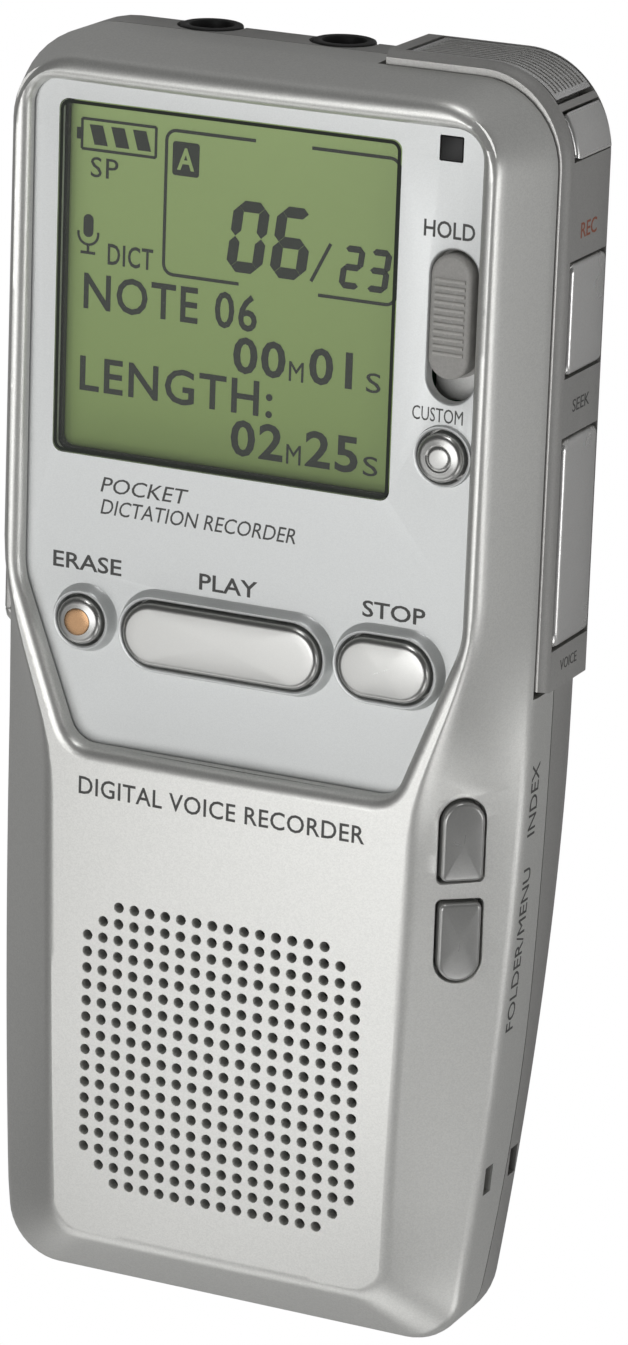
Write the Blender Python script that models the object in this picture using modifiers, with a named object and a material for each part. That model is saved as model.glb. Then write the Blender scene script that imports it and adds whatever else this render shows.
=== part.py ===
"""Hand-held digital dictation recorder, lying on its back: +X is its right side, +Y its top end and +Z its front."""

import math

import bmesh
import bpy
from mathutils import Euler, Matrix, Vector

# Driving dimensions, in millimetres. Design coordinates have x = 0 on the centre line, y = 0 at the bottom
# end and z = 0 on the front face of the control panel. place() turns them into world metres.
MM = 0.001
BODY_TOP = 111.4
BUMP_HEIGHT = 1.0
BACK_DEPTH = 16.7
MID_Y = (BODY_TOP + BUMP_HEIGHT) / 2
HALF_WIDTH = 25.1
TAPER_START = 62.0
WALL = 1.2
GAP = 0.25
TOP_RADIUS = 7.3
BOTTOM_RADIUS = 4.6

CROWN = 2.45
PANEL_THICKNESS = 1.1
BOARD_TOP = -3.6
BOARD_THICKNESS = 0.8
KEY_TOP = 1.8

WINDOW = (-18.6, 75.5, 13.3, 106.4)
PLAY = (-1.4, 61.0, 18.6, 5.6)
STOP = (13.9, 61.3, 8.5, 5.3)
ERASE = (-14.9, 61.2, 4.2, 4.2)
CUSTOM = (18.05, 80.2, 4.2, 4.2)
HOLD_SLOT = (18.35, 91.25, 4.3, 13.0)
HOLD_CAP_LENGTH = 10.6

SPEAKER_Y = 23.3
SPEAKER_RADIUS = 13.6

BEVEL_KEY_X = 20.85
BEVEL_KEY_Z = -1.05
BEVEL_TILT = math.radians(39.6)
INDEX_Y = 46.7
MENU_Y = 37.7

SIDE_OUT = 0.55
SIDE_KEY_OUT = 0.9
SIDE_LOW = -15.4
SIDE_HIGH = -5.5
SIDE_END_Y = 59.0
BUMP_START_X = 8.6
KEY_LOW = -14.7
KEY_HIGH = -7.4
RECORD_Y = (86.5, 96.0)
SEEK_Y = (62.8, 80.9)
NEW_ANGLE = (6.0, 34.0)
GRILLE_ANGLE = 42.0
CORNER = (HALF_WIDTH - TOP_RADIUS, BODY_TOP - TOP_RADIUS)

JACK_X = (-10.6, 1.9)
JACK_Z = -12.6

CELL_RADIUS = 5.25
CELL_LENGTH = 44.5
CELL_X = (3.45, 14.35)
CELL_Z = -10.5
CELL_START = 52.2
BAY = (-3.0, 48.9, 20.5, 99.3)
BAY_WALL = 0.7
DOOR = (-2.2, 50.7, 19.7, 97.8)
DOOR_THICKNESS = 0.85
DOOR_BARREL = 0.95

CARD_DOOR_Y = (57.6, 86.8)
CARD_DOOR_Z = (-14.2, -5.8)
CARD_DOOR_OUT = 0.9
CARD_BARREL = 1.15
CARD = (-23.4, 60.1, -3.9, 85.1)
CARD_Z = (-9.9, -8.2)

SCREWS = ((-17.6, 9.2, -1.1), (17.6, 9.2, -1.1), (-21.9, 101.5, -1.45))
ARC_STEPS = 5


def clear_scene():
    for obj in list(bpy.data.objects):
        bpy.data.objects.remove(obj, do_unlink=True)


def new_collection(name, hidden):
    collection = bpy.data.collections.new(name)
    bpy.context.scene.collection.children.link(collection)
    collection.hide_render = hidden
    return collection


def material(name, colour, roughness, metallic=0.0):
    found = bpy.data.materials.get(name)
    if found:
        return found
    made = bpy.data.materials.new(name)
    made.use_nodes = True
    shader = made.node_tree.nodes["Principled BSDF"]
    shader.inputs["Base Color"].default_value = (*colour, 1.0)
    shader.inputs["Roughness"].default_value = roughness
    shader.inputs["Metallic"].default_value = metallic
    made.diffuse_color = (*colour, 1.0)
    return made


def silver():
    return material("silver_paint", (0.62, 0.62, 0.61), 0.38, 0.5)


def side_silver():
    return material("side_silver_paint", (0.36, 0.36, 0.36), 0.4, 0.5)


def chrome():
    return material("satin_chrome", (0.72, 0.72, 0.72), 0.25, 0.9)


def grey_plastic():
    return material("grey_plastic", (0.2, 0.2, 0.21), 0.45)


def black_plastic():
    return material("black_plastic", (0.02, 0.02, 0.02), 0.5)


def board_green():
    return material("circuit_board", (0.03, 0.15, 0.07), 0.5)


def steel():
    return material("spring_steel", (0.6, 0.6, 0.6), 0.3, 1.0)


def place(x, y, z):
    """World position of a design point."""
    return Vector((x, y - MID_Y, z + BACK_DEPTH)) * MM


def finish(name, mesh, origin, collection, paint, turn=(0, 0, 0)):
    """Links a mesh modelled in millimetres about its own origin as an object at that design point."""
    mesh.transform(Matrix.Scale(MM, 4))
    obj = bpy.data.objects.new(name, mesh)
    obj.location = place(*origin)
    obj.rotation_euler = Euler(turn)
    collection.objects.link(obj)
    if paint:
        mesh.materials.append(paint)
    mesh.shade_smooth()
    mesh.set_sharp_from_angle(angle=math.radians(32))
    if collection.hide_render:
        obj.hide_render = True
        obj.display_type = "WIRE"
    return obj


def mesh_from(bm, name):
    mesh = bpy.data.meshes.new(name)
    bm.to_mesh(mesh)
    bm.free()
    return mesh


def rounded(corners, steps=ARC_STEPS):
    """Closed outline through (x, y, radius) corners, anticlockwise, with each corner an arc."""
    points = []
    count = len(corners)
    for i, (x, y, radius) in enumerate(corners):
        here = Vector((x, y))
        back = (Vector(corners[i - 1][:2]) - here).normalized()
        ahead = (Vector(corners[(i + 1) % count][:2]) - here).normalized()
        if radius <= 0:
            points.append((x, y))
            continue
        half = back.angle(ahead) / 2
        centre = here + (back + ahead).normalized() * radius / math.sin(half)
        start = here + back * radius / math.tan(half) - centre
        turn = math.pi - 2 * half
        for k in range(steps + 1):
            arm = start.copy()
            arm.rotate(Matrix.Rotation(turn * k / steps, 2))
            points.append(tuple(centre + arm))
    return points


def box_outline(x0, y0, x1, y1, radius=0.0, steps=ARC_STEPS):
    return rounded([(x0, y0, radius), (x1, y0, radius), (x1, y1, radius), (x0, y1, radius)], steps)


def pill(length, width, steps=8, grow=0.0):
    """Outline of a rectangle with round ends about the origin, its long side along X or Y."""
    x = length / 2 + grow
    y = width / 2 + grow
    return box_outline(-x, -y, x, y, min(x, y) * 0.999, steps)


def grown(outline, distance):
    """The outline moved out by a distance along its corners' bisectors."""
    moved = []
    count = len(outline)
    for i, point in enumerate(outline):
        before = (Vector(point) - Vector(outline[i - 1])).normalized()
        after = (Vector(outline[(i + 1) % count]) - Vector(point)).normalized()
        normal_a = Vector((before.y, -before.x))
        normal_b = Vector((after.y, -after.x))
        middle = (normal_a + normal_b).normalized()
        moved.append(tuple(Vector(point) + middle * distance / max(0.3, middle.dot(normal_a))))
    return moved


def slab_mesh(name, outlines, low, high):
    """Solid between two heights from flat outlines: the first is the rim and the others are holes."""
    curve = bpy.data.curves.new(name, "CURVE")
    curve.dimensions = "2D"
    curve.fill_mode = "BOTH"
    curve.extrude = (high - low) / 2
    for outline in outlines:
        spline = curve.splines.new("POLY")
        spline.points.add(len(outline) - 1)
        for point, (x, y) in zip(spline.points, outline):
            point.co = (x, y, 0, 1)
        spline.use_cyclic_u = True
    guide = bpy.data.objects.new(name + "_guide", curve)
    bpy.context.scene.collection.objects.link(guide)
    graph = bpy.context.evaluated_depsgraph_get()
    mesh = bpy.data.meshes.new_from_object(guide.evaluated_get(graph))
    bpy.data.objects.remove(guide, do_unlink=True)
    bpy.data.curves.remove(curve)
    bm = bmesh.new()
    bm.from_mesh(mesh)
    bmesh.ops.remove_doubles(bm, verts=bm.verts, dist=1e-4)
    bmesh.ops.translate(bm, verts=bm.verts, vec=(0, 0, (low + high) / 2))
    bmesh.ops.recalc_face_normals(bm, faces=bm.faces)
    bm.to_mesh(mesh)
    bm.free()
    mesh.materials.clear()
    return mesh


def ring_faces(bm, lower, upper):
    count = len(lower)
    for i in range(count):
        k = (i + 1) % count
        bm.faces.new((lower[i], lower[k], upper[k], upper[i]))


def tower_mesh(name, levels):
    """Closed loft through (outline, height) levels, bottom to top. Two levels at one height make a step."""
    bm = bmesh.new()
    rings = [[bm.verts.new((x, y, z)) for x, y in outline] for outline, z in levels]
    for lower, upper in zip(rings, rings[1:]):
        ring_faces(bm, lower, upper)
    bm.faces.new(reversed(rings[0]))
    bm.faces.new(rings[-1])
    return mesh_from(bm, name)


def turned(name, profile, origin, collection, paint, turn=(0, 0, 0), steps=20):
    """Turned shape from (radius, height) points, top to bottom on the outer side, closed on the axis."""
    bm = bmesh.new()
    verts = [bm.verts.new((radius, 0, height)) for radius, height in profile]
    closed = profile[0][0] > 0
    for a, b in zip(verts, verts[1:] + verts[:1] if closed else verts[1:]):
        bm.edges.new((a, b))
    obj = finish(name, mesh_from(bm, name), origin, collection, paint, turn)
    spin = obj.modifiers.new("turn", "SCREW")
    spin.axis = "Z"
    spin.steps = steps
    spin.render_steps = steps
    spin.use_merge_vertices = True
    spin.merge_threshold = 0.00001
    spin.use_smooth_shade = True
    return obj


def slab(name, outlines, low, high, origin, collection, paint, turn=(0, 0, 0)):
    return finish(name, slab_mesh(name, outlines, low, high), origin, collection, paint, turn)


def tower(name, levels, origin, collection, paint, turn=(0, 0, 0)):
    return finish(name, tower_mesh(name, levels), origin, collection, paint, turn)


def block(name, low, high, collection, paint):
    """Plain box between two design corners, with its origin at its middle."""
    bm = bmesh.new()
    bmesh.ops.create_cube(bm, size=1.0)
    size = [b - a for a, b in zip(low, high)]
    bmesh.ops.scale(bm, vec=size, verts=bm.verts)
    middle = [(a + b) / 2 for a, b in zip(low, high)]
    return finish(name, mesh_from(bm, name), middle, collection, paint)


def combine(target, tool, operation, solver="EXACT"):
    change = target.modifiers.new(tool.name, "BOOLEAN")
    change.operation = operation
    change.solver = solver
    change.object = tool


def cut(target, *tools):
    for tool in tools:
        combine(target, tool, "DIFFERENCE")


def join(target, *tools):
    for tool in tools:
        combine(target, tool, "UNION")


def soften(obj, width, angle=50, segments=1):
    edge = obj.modifiers.new("edges", "BEVEL")
    edge.width = width * MM
    edge.segments = segments
    edge.limit_method = "ANGLE"
    edge.angle_limit = math.radians(angle)


def taper(y, start=TAPER_START):
    return max(0.0, 1 - y / start)


def body_width(y):
    return HALF_WIDTH - 3.2 * taper(y) ** 2


def bevel_depth(y):
    return max(1.8, 5.3 - 4.2 * taper(y) ** 1.5)


def seam_depth(y):
    return 9.4 - 4.45 * taper(y, 32.0) ** 2


def back_depth(y):
    return BACK_DEPTH - 5.0 * taper(y, 52.0) ** 1.6


def plateau_width(y):
    step = min(1.0, max(0.0, (y - 47.0) / 21.0))
    low = 16.0 + 0.03 * y
    return low + (22.3 - low) * step * step * (3 - 2 * step)


def crown(x, y):
    return CROWN - 0.0016 * x * x - 0.00005 * max(0, y - 24) ** 2 - 0.0014 * max(0, 24 - y) ** 2


def body_outline(width, bottom, top, bottom_radius, top_radius):
    """Outline of the body at one level: a rounded box whose side follows width(y)."""
    side = []
    for k in range(ARC_STEPS + 1):
        angle = math.radians(-90 + 90 * k / ARC_STEPS)
        side.append((-bottom_radius * (1 - math.cos(angle)), bottom + bottom_radius * (1 + math.sin(angle))))
    first = bottom + bottom_radius
    last = top - top_radius
    for y in [22, 33, 42, 48, 52, 56, 60, 64, 68, 85]:
        side.append((0, first + (last - first) * (y - 4) / 100))
    for k in range(ARC_STEPS + 1):
        angle = math.radians(90 * k / ARC_STEPS)
        side.append((-top_radius * (1 - math.cos(angle)), last + top_radius * math.sin(angle)))
    right = [(width(y) + dx, y) for dx, y in side]
    return right + [(-x, y) for x, y in reversed(right)]


def shell(name, rings, centre, collection, paint):
    """Open loft through 3-D rings with a fan to the centre, thickened inwards by a Solidify."""
    bm = bmesh.new()
    made = [[bm.verts.new(point) for point in ring] for ring in rings]
    for lower, upper in zip(made, made[1:]):
        ring_faces(bm, lower, upper)
    middle = bm.verts.new(centre)
    count = len(made[0])
    for i in range(count):
        k = (i + 1) % count
        if rings[0][0][2] < rings[-1][0][2]:
            bm.faces.new((made[-1][i], made[-1][k], middle))
        else:
            bm.faces.new((made[-1][k], made[-1][i], middle))
    if rings[0][0][2] > rings[-1][0][2]:
        for face in bm.faces:
            if middle not in face.verts:
                face.normal_flip()
    obj = finish(name, mesh_from(bm, name), (0, 0, 0), collection, paint)
    wall = obj.modifiers.new("wall", "SOLIDIFY")
    wall.thickness = WALL * MM
    wall.offset = -1
    wall.use_even_offset = True
    return obj


def front_rings():
    body = body_outline(body_width, 0.0, BODY_TOP, BOTTOM_RADIUS, TOP_RADIUS)
    rim = body_outline(plateau_width, 4.7, BODY_TOP - 1.2, 3.0, 5.8)
    rings = [[(x, y, -seam_depth(y)) for x, y in body], [(x, y, -bevel_depth(y)) for x, y in body]]
    rings.append([(x, y, crown(x, y)) for x, y in rim])
    for scale in (0.7, 0.35):
        ring = [(x * scale, SPEAKER_Y + (y - SPEAKER_Y) * scale) for x, y in rim]
        rings.append([(x, y, crown(x, y)) for x, y in ring])
    return rings


def back_rings():
    body = body_outline(body_width, 0.0, BODY_TOP, BOTTOM_RADIUS, TOP_RADIUS)
    rings = [[(x, y, -seam_depth(y) - 0.15) for x, y in body]]
    for inset, rise in ((0.0, 3.0), (0.9, 0.9), (3.0, 0.0)):
        ring = body_outline(
            lambda y: body_width(y) - inset, inset, BODY_TOP - inset, BOTTOM_RADIUS, TOP_RADIUS
        )
        rings.append([(x, y, -back_depth(y) + rise) for x, y in ring])
    inner = body_outline(lambda y: 12.0, 12.0, 99.0, BOTTOM_RADIUS, TOP_RADIUS)
    rings.append([(x, y, -back_depth(y)) for x, y in inner])
    return rings


def panel_outline(grow=0.0):
    half = [(15.3, 50.1, 2.6), (20.8, 64.6, 8.0), (20.8, 108.0, 2.4)]
    outline = rounded(half + [(-x, y, r) for x, y, r in reversed(half)])
    return grown(outline, grow) if grow else outline


def moved(outline, x, y):
    return [(px + x, py + y) for px, py in outline]


def band(inner_offset, outer_offset, first_angle, last_angle, straight=(), steps=10):
    """Closed outline following the top right corner between two offsets from the body's side."""
    def path(offset):
        radius = TOP_RADIUS + offset
        angles = [first_angle + (last_angle - first_angle) * k / steps for k in range(steps + 1)]
        arc = [
            (CORNER[0] + radius * math.cos(math.radians(a)), CORNER[1] + radius * math.sin(math.radians(a)))
            for a in angles
        ]
        start = [(HALF_WIDTH + offset, straight[0])] if straight and straight[0] is not None else []
        end = [(straight[1], BODY_TOP + offset)] if straight and straight[1] is not None else []
        return start + arc + end
    return path(outer_offset) + path(inner_offset)[::-1]


def side_band(out, inset=1.9, end=0.0):
    """The side bezel's outline: flush with the wall along the side, proud over the microphone."""
    outer = band(-inset, out, 0, 90, (SIDE_END_Y + end, BUMP_START_X + end))
    swelled = []
    for x, y in outer:
        lift = min(1.0, max(0.0, (y - CORNER[1]) / TOP_RADIUS))
        arc = x > CORNER[0] and math.hypot(x - CORNER[0], y - CORNER[1]) > TOP_RADIUS - 0.5
        swelled.append((x, y + (BUMP_HEIGHT - SIDE_OUT) * lift if arc or y > BODY_TOP - 0.5 else y))
    return swelled


def make_covers(parts, cutters):
    front = shell("front_cover", front_rings(), (0, SPEAKER_Y, CROWN), parts, silver())
    rear = shell("rear_cover", back_rings(), (0, 55.0, -BACK_DEPTH), parts, side_silver())
    recess = slab("recess_wall", [panel_outline(1.3)], 0.2, 1.0, (0, 0, 0), cutters, None)
    join(front, recess)
    cut(front, slab("panel_opening", [panel_outline()], -3, 5, (0, 0, 0), cutters, None))

    bezel_pocket = slab("bezel_pocket", [side_band(3.0, 1.9 + GAP, -GAP)], SIDE_LOW - GAP, SIDE_HIGH + GAP,
                        (0, 0, 0), cutters, None)
    low, high = CARD_DOOR_Z
    card_pocket = block("card_pocket", (-28, CARD_DOOR_Y[0] - GAP, low - GAP),
                        (-HALF_WIDTH + 2.6, CARD_DOOR_Y[1] + GAP, high + GAP), cutters, None)
    cut(front, bezel_pocket, card_pocket)
    cut(rear, bezel_pocket, card_pocket)

    x0, y0, x1, y1 = DOOR
    cut(rear, block("bay_opening", (x0 - GAP, y0 - DOOR_BARREL - GAP, -18), (x1 + GAP, y1 + GAP, -14.5),
                    cutters, None))
    for i, x in enumerate(JACK_X):
        hole = turned(f"jack_hole_{i}", [(0, 4), (3.0, 4), (3.0, -4), (0, -4)], (x, BODY_TOP, JACK_Z),
                      cutters, None, (math.pi / 2, 0, 0), 16)
        cut(rear, hole)
    for i, (y, z, height) in enumerate(((15.3, -4.2, 1.6), (15.3, -9.6, 1.4))):
        hole = block(f"strap_hole_{i}", (20.5, y - 1.3, z - height / 2), (27, y + 1.3, z + height / 2),
                     cutters, None)
        cut(front if i == 0 else rear, hole)
    cut(rear, block("dock_opening", (-8.5, -2, -9.0), (8.5, 3, -6.9), cutters, None))
    for i, (x, y, boss_top) in enumerate(SCREWS):
        depth = -back_depth(y)
        head = turned(f"screw_seat_{i}", [(0, 2.2), (1.0, 2.2), (1.0, 0.9), (2.2, 0.9), (2.2, -3), (0, -3)],
                      (x, y, depth), cutters, None, (0, 0, 0), 12)
        cut(rear, head)
        boss = turned(f"screw_boss_{i}", [(0, boss_top), (1.75, boss_top), (1.75, depth + 3.9), (0, depth + 3.9)],
                      (x, y, 0), cutters, None, (0, 0, 0), 12)
        join(front, boss)
        bore = turned(f"screw_bore_{i}", [(0, depth + 8.2), (0.95, depth + 8.2), (0.95, depth), (0, depth)],
                      (x, y, 0), cutters, None, (0, 0, 0), 12)
        cut(front, bore)
    make_key_opening(front, cutters, "index_opening", INDEX_Y, 1)
    make_key_opening(front, cutters, "menu_opening", MENU_Y, -1)
    return front, rear


def bevel_key_outline(rounded_end, grow=0.0):
    x = 1.85 + grow
    y = 3.5 + grow
    soft = 1.8 + grow
    tight = 0.5
    low, high = (tight, soft) if rounded_end > 0 else (soft, tight)
    return rounded([(-x, -y, low), (x, -y, low), (x, y, high), (-x, y, high)])


def bevel_point(y, out):
    """Design point a distance out from the right bevel, at the keys' line."""
    return (BEVEL_KEY_X + out * math.sin(BEVEL_TILT), y, BEVEL_KEY_Z + out * math.cos(BEVEL_TILT))


def make_key_opening(front, cutters, name, y, rounded_end):
    tool = tower(name, [(bevel_key_outline(rounded_end, GAP), -3.0), (bevel_key_outline(rounded_end, GAP), 3.0)],
                 bevel_point(y, 0), cutters, None, (0, BEVEL_TILT, 0))
    cut(front, tool)


def make_panel(parts, cutters):
    x0, y0, x1, y1 = WINDOW
    holes = [
        box_outline(x0, y0, x1, y1, 1.0),
        moved(pill(*HOLD_SLOT[2:]), *HOLD_SLOT[:2]),
        box_outline(16.5, 105.0, 18.8, 107.3, 0.0),
    ]
    panel = slab("control_panel", [panel_outline(0.2)] + holes, -PANEL_THICKNESS, 0, (0, 0, 0), parts,
                 material("panel_silver", (0.66, 0.67, 0.68), 0.35, 0.4))
    for name, key, height, spread in (("play", PLAY, 1.25, 1.1), ("stop", STOP, 1.25, 1.1),
                                      ("erase", ERASE, 1.25, 1.1), ("custom", CUSTOM, 0.4, 0.6)):
        foot = pill(key[2], key[3], grow=spread)
        rings = [(foot, -0.3), (foot, 0.05), (pill(key[2], key[3], grow=GAP + 0.3), height)]
        collar = tower(f"{name}_collar", rings, (*key[:2], 0), cutters, None)
        opening = pill(key[2], key[3], grow=GAP)
        hole = tower(f"{name}_opening", [(opening, -2), (opening, 3)], (*key[:2], 0), cutters, None)
        combine(panel, collar, "UNION", "MANIFOLD")
        combine(panel, hole, "DIFFERENCE", "MANIFOLD")
    window = slab("display_window", [box_outline(x0 + 0.15, y0 + 0.15, x1 - 0.15, y1 - 0.15, 0.9)], -1.0, -0.02,
                  (0, 0, 0), parts, material("clear_acrylic", (0.85, 0.9, 0.85), 0.05))
    soften(window, 0.12)
    slab("indicator_window", [box_outline(16.65, 105.15, 18.65, 107.15)], -1.0, 0.0, (0, 0, 0), parts,
         material("smoked_acrylic", (0.01, 0.01, 0.01), 0.15))
    turned("indicator_lamp", [(0, 0), (0.55, 0), (0.8, -0.4), (0.8, -1.5), (0, -1.5)], (17.65, 106.15, -1.4), parts,
           material("red_lamp", (0.5, 0.02, 0.02), 0.2), steps=12)


def make_display(parts):
    x0, y0, x1, y1 = WINDOW
    rim = box_outline(x0 - 1.3, y0 - 1.3, x1 + 0.9, y1 + 1.0, 0.8, 2)
    view = box_outline(x0 + 0.3, y0 + 0.3, x1 - 0.3, y1 - 0.3, 0.8, 2)
    lip = tower_mesh("display_frame", [(rim, -3.4), (rim, -1.3)])
    frame = finish("display_frame", lip, (0, 0, 0), parts, black_plastic())
    tools = bpy.data.collections["cutters"]
    cut(frame, slab("view_opening", [view], -4, 0, (0, 0, 0), tools, None))
    cut(frame, block("glass_pocket", (x0 - 0.6, y0 - 0.6, -4), (x1 + 0.35, y1 + 0.35, -1.75), tools, None))
    block("display_glass", (x0 - 0.4, y0 - 0.4, -2.85), (x1 + 0.15, y1 + 0.15, -1.9), parts,
          material("display_green", (0.3, 0.38, 0.2), 0.2))
    block("backlight_plate", (x0 - 0.4, y0 - 0.4, -3.35), (x1 + 0.15, y1 + 0.15, -3.0), parts,
          material("light_guide", (0.8, 0.85, 0.75), 0.4))


def round_switch(name, x, y, parts):
    base = box_outline(-1.6, -1.6, 1.6, 1.6, 0.3, 1)
    stem = pill(1.4, 1.4, 1)
    levels = [(base, 0), (base, 0.6)]
    obj = tower(name, levels, (x, y, BOARD_TOP + 0.15), parts, black_plastic())
    button = tower(f"{name}_dome", [(stem, 0.3), (stem, 0.85)], (x, y, BOARD_TOP + 0.15),
                   bpy.data.collections["cutters"], None)
    join(obj, button)


def panel_key(name, key, top, parts, paint):
    """A pushed cap: stem, retaining flange under the panel, body through the collar and a soft edge."""
    x, y, length, width = key
    levels = [
        (pill(1.6, 1.6), -1.95), (pill(1.6, 1.6), -1.75),
        (pill(length, width, grow=0.8), -1.75), (pill(length, width, grow=0.8), -1.35),
        (pill(length, width), -1.35), (pill(length, width), top - 0.35),
        (pill(length, width, grow=-0.12), top - 0.1), (pill(length, width, grow=-0.4), top),
    ]
    tower(name, levels, (x, y, 0), parts, paint)


def make_front_keys(parts):
    for name, key, top in (("play", PLAY, KEY_TOP), ("stop", STOP, KEY_TOP), ("erase", ERASE, KEY_TOP),
                           ("custom", CUSTOM, KEY_TOP - 0.6)):
        panel_key(f"{name}_button", key, top, parts, chrome())
        round_switch(f"{name}_switch", key[0], key[1], parts)
    x, y, width, length = HOLD_SLOT
    cap_y = y + (length - HOLD_CAP_LENGTH) / 2 - GAP
    cap = pill(width - 0.6, HOLD_CAP_LENGTH)
    levels = [(pill(1.4, 2.4), -2.3), (pill(1.4, 2.4), -1.75), (pill(width + 1.0, HOLD_CAP_LENGTH + 0.4), -1.75),
              (pill(width + 1.0, HOLD_CAP_LENGTH + 0.4), -1.35), (cap, -1.35), (cap, 0.6),
              (pill(width - 1.1, HOLD_CAP_LENGTH - 0.5), 0.9)]
    tower("hold_slider", levels, (x, cap_y, 0), parts, grey_plastic())
    block("hold_switch", (x - 2.4, y - length / 2 - 0.3, BOARD_TOP + 0.15),
          (x + 2.4, y + length / 2 + 0.3, -2.55), parts, black_plastic())


def make_bevel_keys(parts):
    for name, y, end in (("index", INDEX_Y, 1), ("menu", MENU_Y, -1)):
        body = bevel_key_outline(end)
        levels = [(pill(1.4, 1.4, ARC_STEPS), -2.3), (pill(1.4, 1.4, ARC_STEPS), -2.1),
                  (bevel_key_outline(end, 0.5), -2.1), (bevel_key_outline(end, 0.5), -1.7),
                  (body, -1.7), (body, 0.25), (bevel_key_outline(end, -0.35), 0.55)]
        tower(f"{name}_button", levels, bevel_point(y, 0), parts, grey_plastic(), (0, BEVEL_TILT, 0))
        base = box_outline(-1.5, -1.5, 1.5, 1.5, 0.2, 1)
        tower(f"{name}_switch", [(base, -3.5), (base, -2.9)], bevel_point(y, 0), parts, black_plastic(),
              (0, BEVEL_TILT, 0))
    middle = (INDEX_Y + MENU_Y) / 2
    plate = box_outline(-2.0, -6.3, 2.0, 6.3, 0.4, 1)
    tower("bevel_key_board", [(plate, -4.2), (plate, -3.65)], bevel_point(middle, 0), parts, board_green(),
          (0, BEVEL_TILT, 0))


def side_key_opening(name, y0, y1, cutters):
    return block(name, (20, y0 - GAP, KEY_LOW - GAP), (29, y1 + GAP, KEY_HIGH + GAP), cutters, None)


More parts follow.
